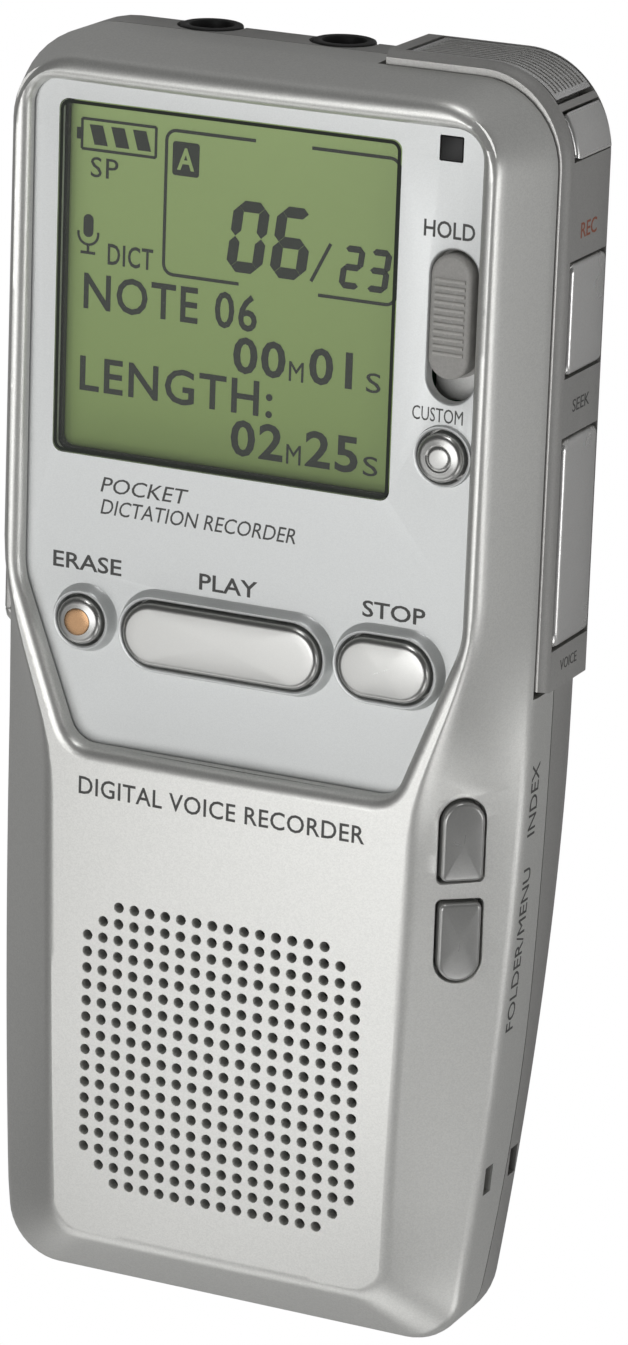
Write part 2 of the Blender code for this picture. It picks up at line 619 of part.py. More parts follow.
def make_side(parts, cutters):
    low = side_band(SIDE_OUT - 0.3, end=0.3)
    full = side_band(SIDE_OUT)
    edge = side_band(0.1, end=0.4)
    bezel = tower("side_bezel", [(low, SIDE_LOW), (full, SIDE_LOW + 0.5), (full, -7.0), (edge, SIDE_HIGH)],
                  (0, 0, 0), parts, side_silver())
    new_hole = slab("new_opening", [band(-4, 4, NEW_ANGLE[0] - 2, NEW_ANGLE[1] + 2, steps=6)], KEY_LOW - GAP,
                    KEY_HIGH + GAP, (0, 0, 0), cutters, None)
    grille_hole = slab("grille_opening", [band(-0.6, 4, GRILLE_ANGLE - 1.5, 90, (None, 10.0), steps=6)],
                       KEY_LOW - GAP, KEY_HIGH + GAP, (0, 0, 0), cutters, None)
    voice_hole = block("voice_opening", (14.0, 106, -12.6), (19.0, 115, -9.4), cutters, None)
    cut(bezel, side_key_opening("record_opening", *RECORD_Y, cutters), side_key_opening("seek_opening", *SEEK_Y,
                                                                                      cutters))
    for tool in (new_hole, grille_hole, voice_hole):
        combine(bezel, tool, "DIFFERENCE", "MANIFOLD")

    middle = (KEY_LOW + KEY_HIGH) / 2
    inside = HALF_WIDTH - 1.9
    out = HALF_WIDTH + SIDE_KEY_OUT
    y = sum(RECORD_Y) / 2
    half_y = (RECORD_Y[1] - RECORD_Y[0]) / 2
    half_z = (KEY_HIGH - KEY_LOW) / 2

    def facing(half_length, half_height, radius=0.6):
        """Outline for a cap that faces +X: local X is world -Z and local Y is world Y."""
        return box_outline(-half_height, -half_length, half_height, half_length, radius, 3)

    small = facing(1.0, 1.0, 0.5)
    base = out - inside
    tower("record_button", [(small, -1.1), (small, -0.7), (facing(half_y + 0.6, half_z - 0.1), -0.7),
                            (facing(half_y + 0.6, half_z - 0.1), -0.3), (facing(half_y, half_z), -0.3),
                            (facing(half_y, half_z), base - 0.4), (facing(half_y - 0.4, half_z - 0.4), base)],
          (inside, y, middle), parts, chrome(), (0, math.pi / 2, 0))
    for name, at in (("record_switch", y), ("seek_forward_switch", SEEK_Y[1] - 2.2),
                     ("seek_back_switch", SEEK_Y[0] + 2.2)):
        block(name, (21.1, at - 1.6, middle - 1.6), (21.55, at + 1.6, middle + 1.6), parts, black_plastic())
    block("side_key_board", (20.75, 60.5, SIDE_LOW + 0.4), (21.0, 98.5, -6.4), parts, board_green())

    y = sum(SEEK_Y) / 2
    half_y = (SEEK_Y[1] - SEEK_Y[0]) / 2
    rocker = tower("seek_rocker", [(facing(half_y - 0.2, half_z), -0.1), (facing(half_y, half_z), 1.0),
                                   (facing(half_y, half_z), base - 0.7),
                                   (facing(half_y - 0.5, half_z - 0.5), base - 0.3)],
                   (inside + 0.3, y, middle), parts, chrome(), (0, math.pi / 2, 0))
    hub = turned("rocker_bore", [(0, 5), (0.75, 5), (0.75, -5), (0, -5)], (inside + 1.2, y, middle), cutters, None,
                 steps=12)
    cut(rocker, hub)
    turned("rocker_pivot", [(0, 3.9), (0.5, 3.9), (0.5, -3.9), (0, -3.9)], (inside + 1.2, y, middle), parts, steel(),
           steps=12)

    mid_angle = math.radians(sum(NEW_ANGLE) / 2)
    direction = (math.cos(mid_angle), math.sin(mid_angle))
    hub_at = (CORNER[0] + 5.6 * direction[0], CORNER[1] + 5.6 * direction[1], 0)
    cap = moved(band(-1.7, SIDE_KEY_OUT, *NEW_ANGLE, steps=6), -hub_at[0], -hub_at[1])
    slim = moved(band(-1.7, SIDE_KEY_OUT - 0.3, NEW_ANGLE[0] + 2, NEW_ANGLE[1] - 2, steps=6), -hub_at[0],
                 -hub_at[1])
    tower("new_button", [(slim, KEY_LOW), (cap, KEY_LOW + 0.4), (cap, KEY_HIGH - 0.4), (slim, KEY_HIGH)], hub_at,
          parts, chrome())
    tower("new_switch", [(box_outline(-0.35, -1.5, 0.35, 1.5, 0.1, 1), -1.5),
                         (box_outline(-0.35, -1.5, 0.35, 1.5, 0.1, 1), 1.5)],
          (hub_at[0] - 1.5 * direction[0], hub_at[1] - 1.5 * direction[1], middle), parts, black_plastic(),
          (0, 0, mid_angle))

    grille = slab("microphone_grille",
                  [[(x, py + 0.35 * min(1.0, max(0.0, (py - CORNER[1]) / 6))) for x, py in
                    band(-0.3, SIDE_OUT, GRILLE_ANGLE, 90, (None, 10.3), steps=8)]],
                  KEY_LOW, KEY_HIGH, (0, 0, 0), parts, chrome())
    soften(grille, 0.15)
    turned("microphone_boot", [(3.6, 1.6), (3.6, -1.9), (0, -1.9), (0, -1.3), (3.05, -1.3), (3.05, 1.6)],
           (16.3, 106.9, -11.0), parts, material("rubber", (0.03, 0.03, 0.03), 0.8), (-math.pi / 2, 0, 0), 16)
    turned("microphone_capsule", [(0, 1.3), (2.8, 1.3), (2.8, -1.1), (0, -1.1)], (16.3, 106.9, -11.0), parts, steel(),
           (-math.pi / 2, 0, 0), 16)


def make_boards(parts):
    spine = [(-20.0, 45.0, 1.0), (15.5, 44.5, 1.0), (15.5, 53.5, 0), (22.0, 53.5, 1.0), (22.0, 98.5, 1.0),
             (20.8, 108.5, 1.0), (-18.6, 108.5, 1.0), (-18.6, 99.0, 0), (-21.8, 99.0, 1.0), (-21.8, 56.0, 1.0)]
    slab("main_board", [rounded(spine, 2)], BOARD_TOP - BOARD_THICKNESS, BOARD_TOP, (0, 0, 0), parts, board_green())


def make_speaker(parts):
    radius = SPEAKER_RADIUS
    at = (0, SPEAKER_Y, 0)
    turned("speaker_frame", [(radius, 0.3), (radius, -0.9), (9.0, -3.9), (6.3, -3.9), (6.3, -3.5), (8.8, -3.5),
                             (radius - 0.7, -0.6), (radius - 0.7, 0.3)], at, parts, black_plastic(), steps=24)
    turned("speaker_cone", [(0, -1.2), (4.0, -1.3), (radius - 1.0, 0.0), (radius - 1.0, -0.35), (6.0, -2.7),
                            (5.0, -3.2), (0, -3.2)], at, parts, material("paper_cone", (0.04, 0.04, 0.04), 0.9),
           steps=24)
    turned("speaker_magnet", [(0, -3.6), (6.0, -3.6), (6.0, -4.2), (8.0, -4.2), (8.0, -6.2), (0, -6.2)], at, parts,
           steel(), steps=20)


def make_jacks(parts, cutters):
    for name, x in (("earphone_jack", JACK_X[1]), ("microphone_jack", JACK_X[0])):
        jack = turned(name, [(0, -11.5), (2.4, -11.5), (2.4, -1.6), (2.75, -1.6), (2.75, 0.15), (0, 0.15)][::-1],
                      (x, BODY_TOP, JACK_Z), parts, black_plastic(), (-math.pi / 2, 0, 0), 16)
        bore = turned(f"{name}_bore", [(0, 1), (1.8, 1), (1.8, -10.5), (0, -10.5)], (x, BODY_TOP, JACK_Z), cutters,
                      None, (-math.pi / 2, 0, 0), 14)
        cut(jack, bore)


def make_power(parts, cutters):
    x0, y0, x1, y1 = BAY
    bay = block("battery_bay", (x0, y0, -15.0), (x1, y1, -4.6), parts, black_plastic())
    cut(bay, block("bay_space", (x0 + BAY_WALL, y0 + BAY_WALL, -17), (x1 - BAY_WALL, y1 - BAY_WALL, -5.1), cutters,
                   None))
    shape = [(0, CELL_LENGTH), (1.9, CELL_LENGTH), (1.9, CELL_LENGTH - 0.9), (CELL_RADIUS, CELL_LENGTH - 0.9),
             (CELL_RADIUS, 0), (0, 0)]
    for i, x in enumerate(CELL_X):
        flip = math.pi / 2 if i else -math.pi / 2
        start = CELL_START + (CELL_LENGTH if i else 0)
        turned(f"battery_{i + 1}", shape, (x, start, CELL_Z), parts,
               material(f"cell_{i + 1}", (0.5, 0.5, 0.52), 0.35, 0.6), (flip, 0, 0), 20)
    inner_low = y0 + BAY_WALL + 0.2
    inner_high = y1 - BAY_WALL - 0.2
    high = CELL_START + CELL_LENGTH + 0.2
    low = CELL_START - 0.2
    block("battery_contact_positive", (CELL_X[0] - 3, inner_high - 0.3, -14.5), (CELL_X[0] + 3, inner_high, -7),
          parts, steel())
    block("battery_bridge", (CELL_X[0] - 3, inner_low, -14.5), (CELL_X[1] + 3, inner_low + 0.3, -7), parts, steel())
    for name, x, at, way in (("contact_spring_1", CELL_X[0], low, -1), ("contact_spring_2", CELL_X[1], high, 1)):
        length = (low - inner_low - 0.5) if way < 0 else (inner_high - 0.5 - high)
        turned(name, [(0, 0), (1.6, 0), (3.2, -length), (0, -length)], (x, at, CELL_Z), parts, steel(),
               (way * math.pi / 2, 0, 0), 14)

    x0, y0, x1, y1 = DOOR
    axis = (0, y0, -BACK_DEPTH + DOOR_BARREL)
    low = -DOOR_BARREL
    middle = (x0 + x1) / 2
    door = block("battery_door", (x0, y0, -BACK_DEPTH), (x1, y1 - 0.05, -BACK_DEPTH + DOOR_THICKNESS), parts,
                 side_silver())
    shift = Vector(((x0 + x1) / 2, (y0 + y1 - 0.05) / 2 - axis[1], low + DOOR_THICKNESS / 2))
    door.data.transform(Matrix.Translation(shift * MM))
    door.location = place(*axis)
    barrel = turned("door_barrel", [(0, 10.5), (DOOR_BARREL, 10.5), (DOOR_BARREL, -10.5), (0, -10.5)],
                    (middle, *axis[1:]), cutters, None, (0, math.pi / 2, 0), 12)
    catch = block("door_catch", (middle - 4, y1 - 0.95, -BACK_DEPTH + 0.3), (middle + 4, y1 - 0.4, -14.9), cutters,
                  None)
    join(door, barrel, catch)
    cut(door, turned("door_bore", [(0, 14), (0.55, 14), (0.55, -14), (0, -14)], (middle, *axis[1:]), cutters, None,
                     (0, math.pi / 2, 0), 10))
    turned("battery_door_pin", [(0, 10.9), (0.3, 10.9), (0.3, -10.9), (0, -10.9)], (middle, *axis[1:]), parts,
           steel(), (0, math.pi / 2, 0), 10)


def make_card(parts, cutters):
    x0, y0, x1, y1 = CARD
    low, high = CARD_Z
    socket = block("card_socket", (x0 + 2.0, y0 - 0.9, low - 0.7), (x1 + 0.6, y1 + 0.9, high + 0.7), parts, steel())
    cut(socket, block("card_space", (x0 - 2, y0 - 0.3, low - 0.3), (x1 + 0.2, y1 + 0.3, high + 0.3), cutters, None))
    slab("memory_card", [rounded([(x0, y0, 0.5), (x1 - 1.5, y0, 0), (x1, y0 + 1.5, 0), (x1, y1, 0.5),
                                  (x0, y1, 0.5)], 2)], low, high, (0, 0, 0), parts, black_plastic())
    y0, y1 = CARD_DOOR_Y
    low, high = CARD_DOOR_Z
    outer = -HALF_WIDTH - CARD_DOOR_OUT
    axis = (outer + CARD_BARREL, y0 + CARD_BARREL, (low + high) / 2)
    inner = outer + 1.4
    outline = moved([(inner, y0 + CARD_BARREL), (inner, y1), (outer + 0.5, y1), (outer, y1 - 0.9),
                     (outer, y0 + CARD_BARREL)], -axis[0], -axis[1])
    half = (high - low) / 2
    door = slab("card_door", [outline], -half, half, axis, parts, side_silver())
    soften(door, 0.25, 60)
    barrel = turned("card_barrel", [(0, half - 0.3), (CARD_BARREL, half - 0.3), (CARD_BARREL, 0.3 - half),
                                    (0, 0.3 - half)], axis, cutters, None, steps=12)
    join(door, barrel)
    cut(door, turned("card_bore", [(0, 9), (0.6, 9), (0.6, -9), (0, -9)], axis, cutters, None, steps=10))
    turned("card_door_pin", [(0, half - 0.1), (0.32, half - 0.1), (0.32, 0.1 - half), (0, 0.1 - half)], axis, parts,
           steel(), steps=10)


def make_small_parts(parts):
    block("dock_connector", (-8.1, 1.0, -8.7), (8.1, 5.0, -7.2), parts, black_plastic())
    for i, (x, y, _) in enumerate(SCREWS):
        depth = -back_depth(y)
        turned(f"case_screw_{i + 1}", [(0, 7.0), (0.7, 7.0), (0.7, 0.3), (1.9, 0.3), (1.9, -0.25), (0, -0.25)],
               (x, y, depth + 0.35), parts, steel(), steps=10)


def main():
    clear_scene()
    parts = new_collection("dictation_recorder", False)
    cutters = new_collection("cutters", True)
    make_covers(parts, cutters)
    make_panel(parts, cutters)
    make_display(parts)
    make_front_keys(parts)
    make_bevel_keys(parts)
    make_side(parts, cutters)
    make_boards(parts)
    make_speaker(parts)
    make_jacks(parts, cutters)
    make_power(parts, cutters)
    make_card(parts, cutters)
    make_small_parts(parts)


main()
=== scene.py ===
import math

import bmesh
import bpy
import numpy as np
from mathutils import Matrix, Vector


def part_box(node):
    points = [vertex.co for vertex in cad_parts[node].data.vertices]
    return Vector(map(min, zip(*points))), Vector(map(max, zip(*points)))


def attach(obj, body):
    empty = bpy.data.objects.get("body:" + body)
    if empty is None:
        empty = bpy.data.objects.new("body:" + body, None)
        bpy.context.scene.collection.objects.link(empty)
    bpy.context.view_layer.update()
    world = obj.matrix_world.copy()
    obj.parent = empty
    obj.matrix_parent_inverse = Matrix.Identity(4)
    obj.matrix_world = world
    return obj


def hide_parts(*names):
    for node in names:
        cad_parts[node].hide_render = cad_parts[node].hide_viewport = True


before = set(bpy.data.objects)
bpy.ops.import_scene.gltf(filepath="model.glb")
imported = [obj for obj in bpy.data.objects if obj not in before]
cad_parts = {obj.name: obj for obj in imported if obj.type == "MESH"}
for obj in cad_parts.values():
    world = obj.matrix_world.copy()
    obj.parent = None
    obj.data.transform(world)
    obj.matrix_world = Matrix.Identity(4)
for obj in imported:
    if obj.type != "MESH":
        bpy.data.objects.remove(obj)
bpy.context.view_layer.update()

print("frame loaded")

mm = 0.001


def nodeBox(name):
    # lowest and highest corner of a CAD node, in metres
    low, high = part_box(name)
    return np.array(low, float), np.array(high, float)


# design coordinates: x across, y up from the bottom end, z out of the control panel, all in millimetres
bodyLow, bodyHigh = nodeBox("front_cover")
panelFront = nodeBox("display_window")[1][2] + 0.02 * mm
origin = np.array([0.0, bodyLow[1], panelFront])
halfWidth = bodyHigh[0] / mm
bodyTop = (bodyHigh[1] - bodyLow[1]) / mm
backDepth = panelFront / mm


def toWorld(points):
    return np.asarray(points, float) * mm + origin


def toDesign(point):
    return (np.asarray(point, float) - origin) / mm


def middleOf(name):
    low, high = nodeBox(name)
    return toDesign((low + high) / 2)


def designBox(name):
    # lowest and highest corner of a CAD node in design millimetres
    low, high = nodeBox(name)
    return toDesign(low), toDesign(high)


def meshObject(name, points, faces, smooth=True, angle=35):
    # points in design millimetres, faces as index lists
    mesh = bpy.data.meshes.new(name)
    mesh.from_pydata(toWorld(points).tolist(), [], [list(map(int, f)) for f in faces])
    mesh.update()
    obj = bpy.data.objects.new(name, mesh)
    bpy.context.scene.collection.objects.link(obj)
    if smooth:
        mesh.shade_smooth()
        mesh.set_sharp_from_angle(angle=math.radians(angle))
    return obj


def gridFaces(rows, columns):
    # quads between neighbouring rows of one long list of points, each row a ring
    low = np.arange(rows - 1)[:, None] * columns
    high = low + columns
    here = np.arange(columns)[None, :]
    after = (here + 1) % columns
    return np.stack([low + here, low + after, high + after, high + here], -1).reshape(-1, 4)


def loft(name, rings, angle=35):
    # rings is (rows, columns, 3): a surface through closed rings, bottom to top, with flat caps
    rings = np.asarray(rings, float)
    rows, columns = rings.shape[:2]
    faces = [*gridFaces(rows, columns), np.arange(columns)[::-1], np.arange(columns) + (rows - 1) * columns]
    return meshObject(name, rings.reshape(-1, 3), faces, angle=angle)


def bake(obj):
    # applies every modifier of a piece
    graph = bpy.context.evaluated_depsgraph_get()
    mesh = bpy.data.meshes.new_from_object(obj.evaluated_get(graph))
    old = obj.data
    obj.modifiers.clear()
    obj.data = mesh
    bpy.data.meshes.remove(old)
    return obj


def triangulated(obj):
    bm = bmesh.new()
    bm.from_mesh(obj.data)
    bmesh.ops.triangulate(bm, faces=bm.faces)
    bm.to_mesh(obj.data)
    bm.free()


def carve(obj, tools, operation="DIFFERENCE"):
    # one Boolean for each tool, applied at once, and the tools go
    triangulated(obj)
    for tool in tools:
        triangulated(tool)
        step = obj.modifiers.new("carve", "BOOLEAN")
        step.operation = operation
        step.solver = "MANIFOLD"
        step.object = tool
    bake(obj)
    for tool in tools:
        bpy.data.objects.remove(tool, do_unlink=True)
    return obj


def smoothShade(obj, angle):
    obj.data.shade_smooth()
    obj.data.set_sharp_from_angle(angle=math.radians(angle))
    return obj


def soften(obj, width, segments):
    # rounds every edge sharper than 30 degrees
    step = obj.modifiers.new("soft edges", "BEVEL")
    step.width = width * mm
    step.segments = segments
    step.limit_method = "ANGLE"
    step.angle_limit = math.radians(30)
    step.harden_normals = False
    return obj


def softCopy(node, width, segments, name=None):
    # the CAD node's own shape with its edges rounded
    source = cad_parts[node]
    mesh = source.data.copy()
    bm = bmesh.new()
    bm.from_mesh(mesh)
    bmesh.ops.remove_doubles(bm, verts=bm.verts, dist=1e-6)
    bmesh.ops.dissolve_limit(bm, angle_limit=math.radians(1.0), verts=bm.verts, edges=bm.edges)
    bm.to_mesh(mesh)
    bm.free()
    mesh.materials.clear()
    obj = bpy.data.objects.new(name or node + "Soft", mesh)
    bpy.context.scene.collection.objects.link(obj)
    soften(obj, width, segments)
    bake(obj)
    return smoothShade(obj, 32)


def rounded(corners, steps):
    # closed outline through (x, y, radius) corners, each corner a true arc
    out = []
    for i, (x, y, radius) in enumerate(corners):
        here = np.array([x, y], float)
        back = np.array(corners[i - 1][:2], float) - here
        ahead = np.array(corners[(i + 1) % len(corners)][:2], float) - here
        back /= np.linalg.norm(back)
        ahead /= np.linalg.norm(ahead)
        half = math.acos(max(-1.0, min(1.0, float(back @ ahead)))) / 2
        bisector = (back + ahead) / np.linalg.norm(back + ahead)
        centre = here + bisector * radius / math.sin(half)
        start = here + back * radius / math.tan(half) - centre
        turn = np.linspace(0, math.pi - 2 * half, steps + 1)
        c, s = np.cos(turn), np.sin(turn)
        out.append(centre + np.stack([c * start[0] - s * start[1], s * start[0] + c * start[1]], -1))
    return np.concatenate(out)


def boxOutline(x0, y0, x1, y1, radius, steps=8):
    return rounded([(x0, y0, radius), (x1, y0, radius), (x1, y1, radius), (x0, y1, radius)], steps)


def pill(length, width, grow=0.0):
    x, y = length / 2 + grow, width / 2 + grow
    return boxOutline(-x, -y, x, y, min(x, y) * 0.999, 14)


def resample(outline, count):
    # the same closed outline with evenly spaced points
    loop = np.concatenate([outline, outline[:1]])
    far = np.concatenate([[0], np.cumsum(np.linalg.norm(np.diff(loop, axis=0), axis=1))])
    at = np.linspace(0, far[-1], count, endpoint=False)
    return np.stack([np.interp(at, far, loop[:, k]) for k in (0, 1)], -1)


def grown(outline, distance):
    # each point moved out along the outline's normal
    ahead = np.roll(outline, -1, 0) - outline
    back = outline - np.roll(outline, 1, 0)
    ahead /= np.linalg.norm(ahead, axis=1, keepdims=True)
    back /= np.linalg.norm(back, axis=1, keepdims=True)
    a = np.stack([ahead[:, 1], -ahead[:, 0]], -1)
    b = np.stack([back[:, 1], -back[:, 0]], -1)
    middle = a + b
    middle /= np.linalg.norm(middle, axis=1, keepdims=True)
    return outline + middle * distance / np.maximum(0.3, (middle * a).sum(1, keepdims=True))


def ringAt(outline, z):
    return np.concatenate([outline, np.full((len(outline), 1), float(z))], 1)


def slab(name, outline, low, high):
    return loft(name, [ringAt(outline, low), ringAt(outline, high)])


def boxTool(low, high):
    outline = np.array([(low[0], low[1]), (high[0], low[1]), (high[0], high[1]), (low[0], high[1])], float)
    return slab("tool", outline, low[2], high[2])


def turned(name, profile, centre, axis="Z", steps=32):
    # profile of (radius, height) pairs, bottom to top, spun about an axis through the centre
    profile = np.asarray(profile, float)
    a = np.linspace(0, 2 * math.pi, steps, endpoint=False)
    r, h = profile[:, 0][:, None], profile[:, 1][:, None]
    x, y, z = r * np.cos(a), r * np.sin(a), h + 0 * a
    rings = {"Z": (x, y, z), "Y": (y, z, x), "X": (z, x, y)}[axis]
    return loft(name, np.stack(rings, -1) + np.asarray(centre, float))


def frameOf(centre, tilt):
    # local axes on the right bevel: across the slope, up the body, out of the surface
    across = np.array([math.cos(tilt), 0, -math.sin(tilt)])
    out = np.array([math.sin(tilt), 0, math.cos(tilt)])
    basis = np.stack([across, np.array([0, 1.0, 0]), out])
    return lambda rings: np.asarray(rings, float) @ basis + np.asarray(centre, float)


def newGroup(name, inputs, outputs):
    group = bpy.data.node_groups.new(name, "ShaderNodeTree")
    for label, kind, value in inputs:
        socket = group.interface.new_socket(label, in_out="INPUT", socket_type=kind)
        socket.default_value = value
    for label, kind in outputs:
        group.interface.new_socket(label, in_out="OUTPUT", socket_type=kind)
    return group, group.nodes.new("NodeGroupInput"), group.nodes.new("NodeGroupOutput")


def addNode(tree, kind, links=(), **values):
    # a node with its inputs set by name or number and linked as (input, source socket)
    node = tree.nodes.new(kind)
    for key, value in values.items():
        if hasattr(node, key):
            setattr(node, key, value)
        else:
            node.inputs[key].default_value = value
    for slot, source in links:
        tree.links.new(source, node.inputs[slot])
    return node


def mathNode(tree, operation, a, b, clamp=False):
    node = tree.nodes.new("ShaderNodeMath")
    node.operation = operation
    node.use_clamp = clamp
    for slot, value in ((0, a), (1, b)):
        if isinstance(value, (int, float)):
            node.inputs[slot].default_value = value
        else:
            tree.links.new(value, node.inputs[slot])
    return node.outputs[0]


def makeFinishGroup():
    # colour with flake speckle and slow mottling, roughness that wanders, and a fine grain as a normal
    group, into, out = newGroup(
        "finishDetail",
        [("Color", "NodeSocketColor", (0.6, 0.6, 0.6, 1)), ("Roughness", "NodeSocketFloat", 0.35),
         ("Grain Size", "NodeSocketFloat", 5000.0), ("Grain Depth", "NodeSocketFloat", 0.1),
         ("Speckle", "NodeSocketFloat", 0.06), ("Mottle", "NodeSocketFloat", 0.05),
         ("Wear", "NodeSocketFloat", 0.15)],
        [("Color", "NodeSocketColor"), ("Roughness", "NodeSocketFloat"), ("Normal", "NodeSocketVector")])
    place = addNode(group, "ShaderNodeTexCoord").outputs["Object"]
    fine = addNode(group, "ShaderNodeTexNoise", [("Vector", place), ("Scale", into.outputs["Grain Size"])],
                   Detail=2.0)
    flake = addNode(group, "ShaderNodeTexVoronoi", [("Vector", place), ("Scale", into.outputs["Grain Size"])])
    slow = addNode(group, "ShaderNodeTexNoise", [("Vector", place)], Scale=90.0, Detail=3.0)
    # brightness factor = 1 + speckle * (flake - 0.5) + mottle * (slow noise - 0.5)
    grey = addNode(group, "ShaderNodeSeparateColor", [("Color", flake.outputs["Color"])]).outputs[0]
    speckle = mathNode(group, "MULTIPLY", mathNode(group, "SUBTRACT", grey, 0.5), into.outputs["Speckle"])
    slowWave = mathNode(group, "SUBTRACT", slow.outputs["Fac"], 0.5)
    mottle = mathNode(group, "MULTIPLY", slowWave, into.outputs["Mottle"])
    factor = mathNode(group, "ADD", mathNode(group, "ADD", speckle, mottle), 1.0)
    # wear: convex edges a touch brighter and smoother
    shape = addNode(group, "ShaderNodeNewGeometry").outputs["Pointiness"]
    edge = mathNode(group, "MULTIPLY", mathNode(group, "SUBTRACT", shape, 0.53), 9.0, True)
    edge = mathNode(group, "MULTIPLY", edge, into.outputs["Wear"])
    factor = mathNode(group, "ADD", factor, edge)
    tint = addNode(group, "ShaderNodeVectorMath", [(0, into.outputs["Color"])], operation="SCALE")
    group.links.new(factor, tint.inputs["Scale"])
    rough = mathNode(group, "ADD", into.outputs["Roughness"], mathNode(group, "MULTIPLY", mottle, 1.2))
    rough = mathNode(group, "SUBTRACT", rough, mathNode(group, "MULTIPLY", edge, 0.3))
    grain = [("Height", fine.outputs["Fac"]), ("Strength", into.outputs["Grain Depth"])]
    bump = addNode(group, "ShaderNodeBump", grain, Distance=0.00004)
    group.links.new(tint.outputs[0], out.inputs["Color"])
    group.links.new(rough, out.inputs["Roughness"])
    group.links.new(bump.outputs[0], out.inputs["Normal"])
    return group


finishDetail = makeFinishGroup()


def material(name, color, roughness, size, depth, speckle, mottle, wear, metallic=0.0, coat=0.0,
             coatRoughness=0.2):
    # size and depth are the grain's, wear brightens convex edges
    found = bpy.data.materials.new(name)
    found.use_nodes = True
    tree = found.node_tree
    shader = tree.nodes["Principled BSDF"]
    detail = tree.nodes.new("ShaderNodeGroup")
    detail.node_tree = finishDetail
    values = (("Color", (*color, 1)), ("Roughness", roughness), ("Grain Size", size), ("Grain Depth", depth),
              ("Speckle", speckle), ("Mottle", mottle), ("Wear", wear))
    for key, value in values:
        detail.inputs[key].default_value = value
    tree.links.new(detail.outputs["Color"], shader.inputs["Base Color"])
    tree.links.new(detail.outputs["Roughness"], shader.inputs["Roughness"])
    tree.links.new(detail.outputs["Normal"], shader.inputs["Normal"])
    shader.inputs["Metallic"].default_value = metallic
    shader.inputs["Coat Weight"].default_value = coat
    shader.inputs["Coat Roughness"].default_value = coatRoughness
    return found


finishes = {
    "coverSilver": dict(color=(0.76, 0.76, 0.735), roughness=0.38, metallic=0.7, size=9000, depth=0.12,
                        speckle=0.10, mottle=0.03, wear=0.0, coat=0.15, coatRoughness=0.25),
    "rearSilver": dict(color=(0.50, 0.495, 0.48), roughness=0.36, metallic=0.7, size=9000, depth=0.12,
                       speckle=0.12, mottle=0.04, wear=0.15, coat=0.1, coatRoughness=0.3),
    "panelSilver": dict(color=(0.70, 0.715, 0.71), roughness=0.38, metallic=0.45, size=12000, depth=0.06,
                        speckle=0.06, mottle=0.03, wear=0.05, coat=0.2, coatRoughness=0.2),
    "capChrome": dict(color=(0.53, 0.53, 0.515), roughness=0.3, metallic=0.9, size=12000, depth=0.04,
                      speckle=0.03, mottle=0.05, wear=0.1),
    # the side keys' silver is raised to make up for the little light that reaches the top of the case: partly
    # their own light silver, partly painted light
    "sideKeySilver": dict(color=(0.84, 0.835, 0.82), roughness=0.28, metallic=0.85, size=9000, depth=0.06,
                          speckle=0.06, mottle=0.05, wear=0.25),
    "capWarm": dict(color=(0.40, 0.24, 0.13), roughness=0.26, metallic=0.85, size=12000, depth=0.04,
                    speckle=0.03, mottle=0.05, wear=0.1),
    # the hold slot's floor takes a lighter silver than the panel to make up for the deep shade at the foot of
    # the slot: painted light
    "holdFloorPaintedLight": dict(color=(0.75, 0.75, 0.73), roughness=0.45, metallic=0.3, size=7000, depth=0.15,
                      speckle=0.08, mottle=0.05, wear=0.1),
    "greyRubberised": dict(color=(0.42, 0.41, 0.39), roughness=0.5, size=7000, depth=0.25, speckle=0.12,
                           mottle=0.08, wear=0.2),
    "bevelKeyGrey": dict(color=(0.40, 0.40, 0.39), roughness=0.28, metallic=0.5, size=9000, depth=0.1,
                         speckle=0.08, mottle=0.05, wear=0.3, coat=0.3, coatRoughness=0.15),
    "mattBlack": dict(color=(0.018, 0.018, 0.018), roughness=0.5, size=6000, depth=0.3, speckle=0.15,
                      mottle=0.1, wear=0.3),
    "smokedAcrylic": dict(color=(0.008, 0.008, 0.008), roughness=0.5, size=6000, depth=0.02, speckle=0.02,
                          mottle=0.05, wear=0.0),
    "ink": dict(color=(0.085, 0.085, 0.082), roughness=0.55, size=14000, depth=0.1, speckle=0.15, mottle=0.1,
                wear=0.0),
    "redInk": dict(color=(0.36, 0.10, 0.045), roughness=0.55, size=14000, depth=0.1, speckle=0.15, mottle=0.1,
                   wear=0.0),
    "displayInk": dict(color=(0.014, 0.02, 0.012), roughness=0.7, size=9000, depth=0.05, speckle=0.1,
                       mottle=0.1, wear=0.0),
    "solderGreen": dict(color=(0.02, 0.14, 0.06), roughness=0.4, size=2500, depth=0.3, speckle=0.2,
                        mottle=0.2, wear=0.1, coat=0.4),
    "nickelSteel": dict(color=(0.62, 0.60, 0.56), roughness=0.28, metallic=1.0, size=5000, depth=0.15,
                        speckle=0.06, mottle=0.12, wear=0.2),
    "softRubber": dict(color=(0.02, 0.02, 0.02), roughness=0.8, size=4000, depth=0.4, speckle=0.2, mottle=0.1,
                       wear=0.1),
    "conePaper": dict(color=(0.035, 0.035, 0.033), roughness=0.9, size=3000, depth=0.6, speckle=0.3,
                      mottle=0.2, wear=0.1),
    "cellJacket": dict(color=(0.16, 0.19, 0.24), roughness=0.3, metallic=0.5, size=6000, depth=0.05,
                       speckle=0.05, mottle=0.05, wear=0.1, coat=0.5, coatRoughness=0.1),
    "lightGuide": dict(color=(0.7, 0.75, 0.62), roughness=0.4, size=6000, depth=0.1, speckle=0.05,
                       mottle=0.05, wear=0.0),
    "redLamp": dict(color=(0.45, 0.02, 0.02), roughness=0.2, size=6000, depth=0.05, speckle=0.02, mottle=0.05,
                    wear=0.0, coat=0.5),
}
made = {name: material(name, **values) for name, values in finishes.items()}


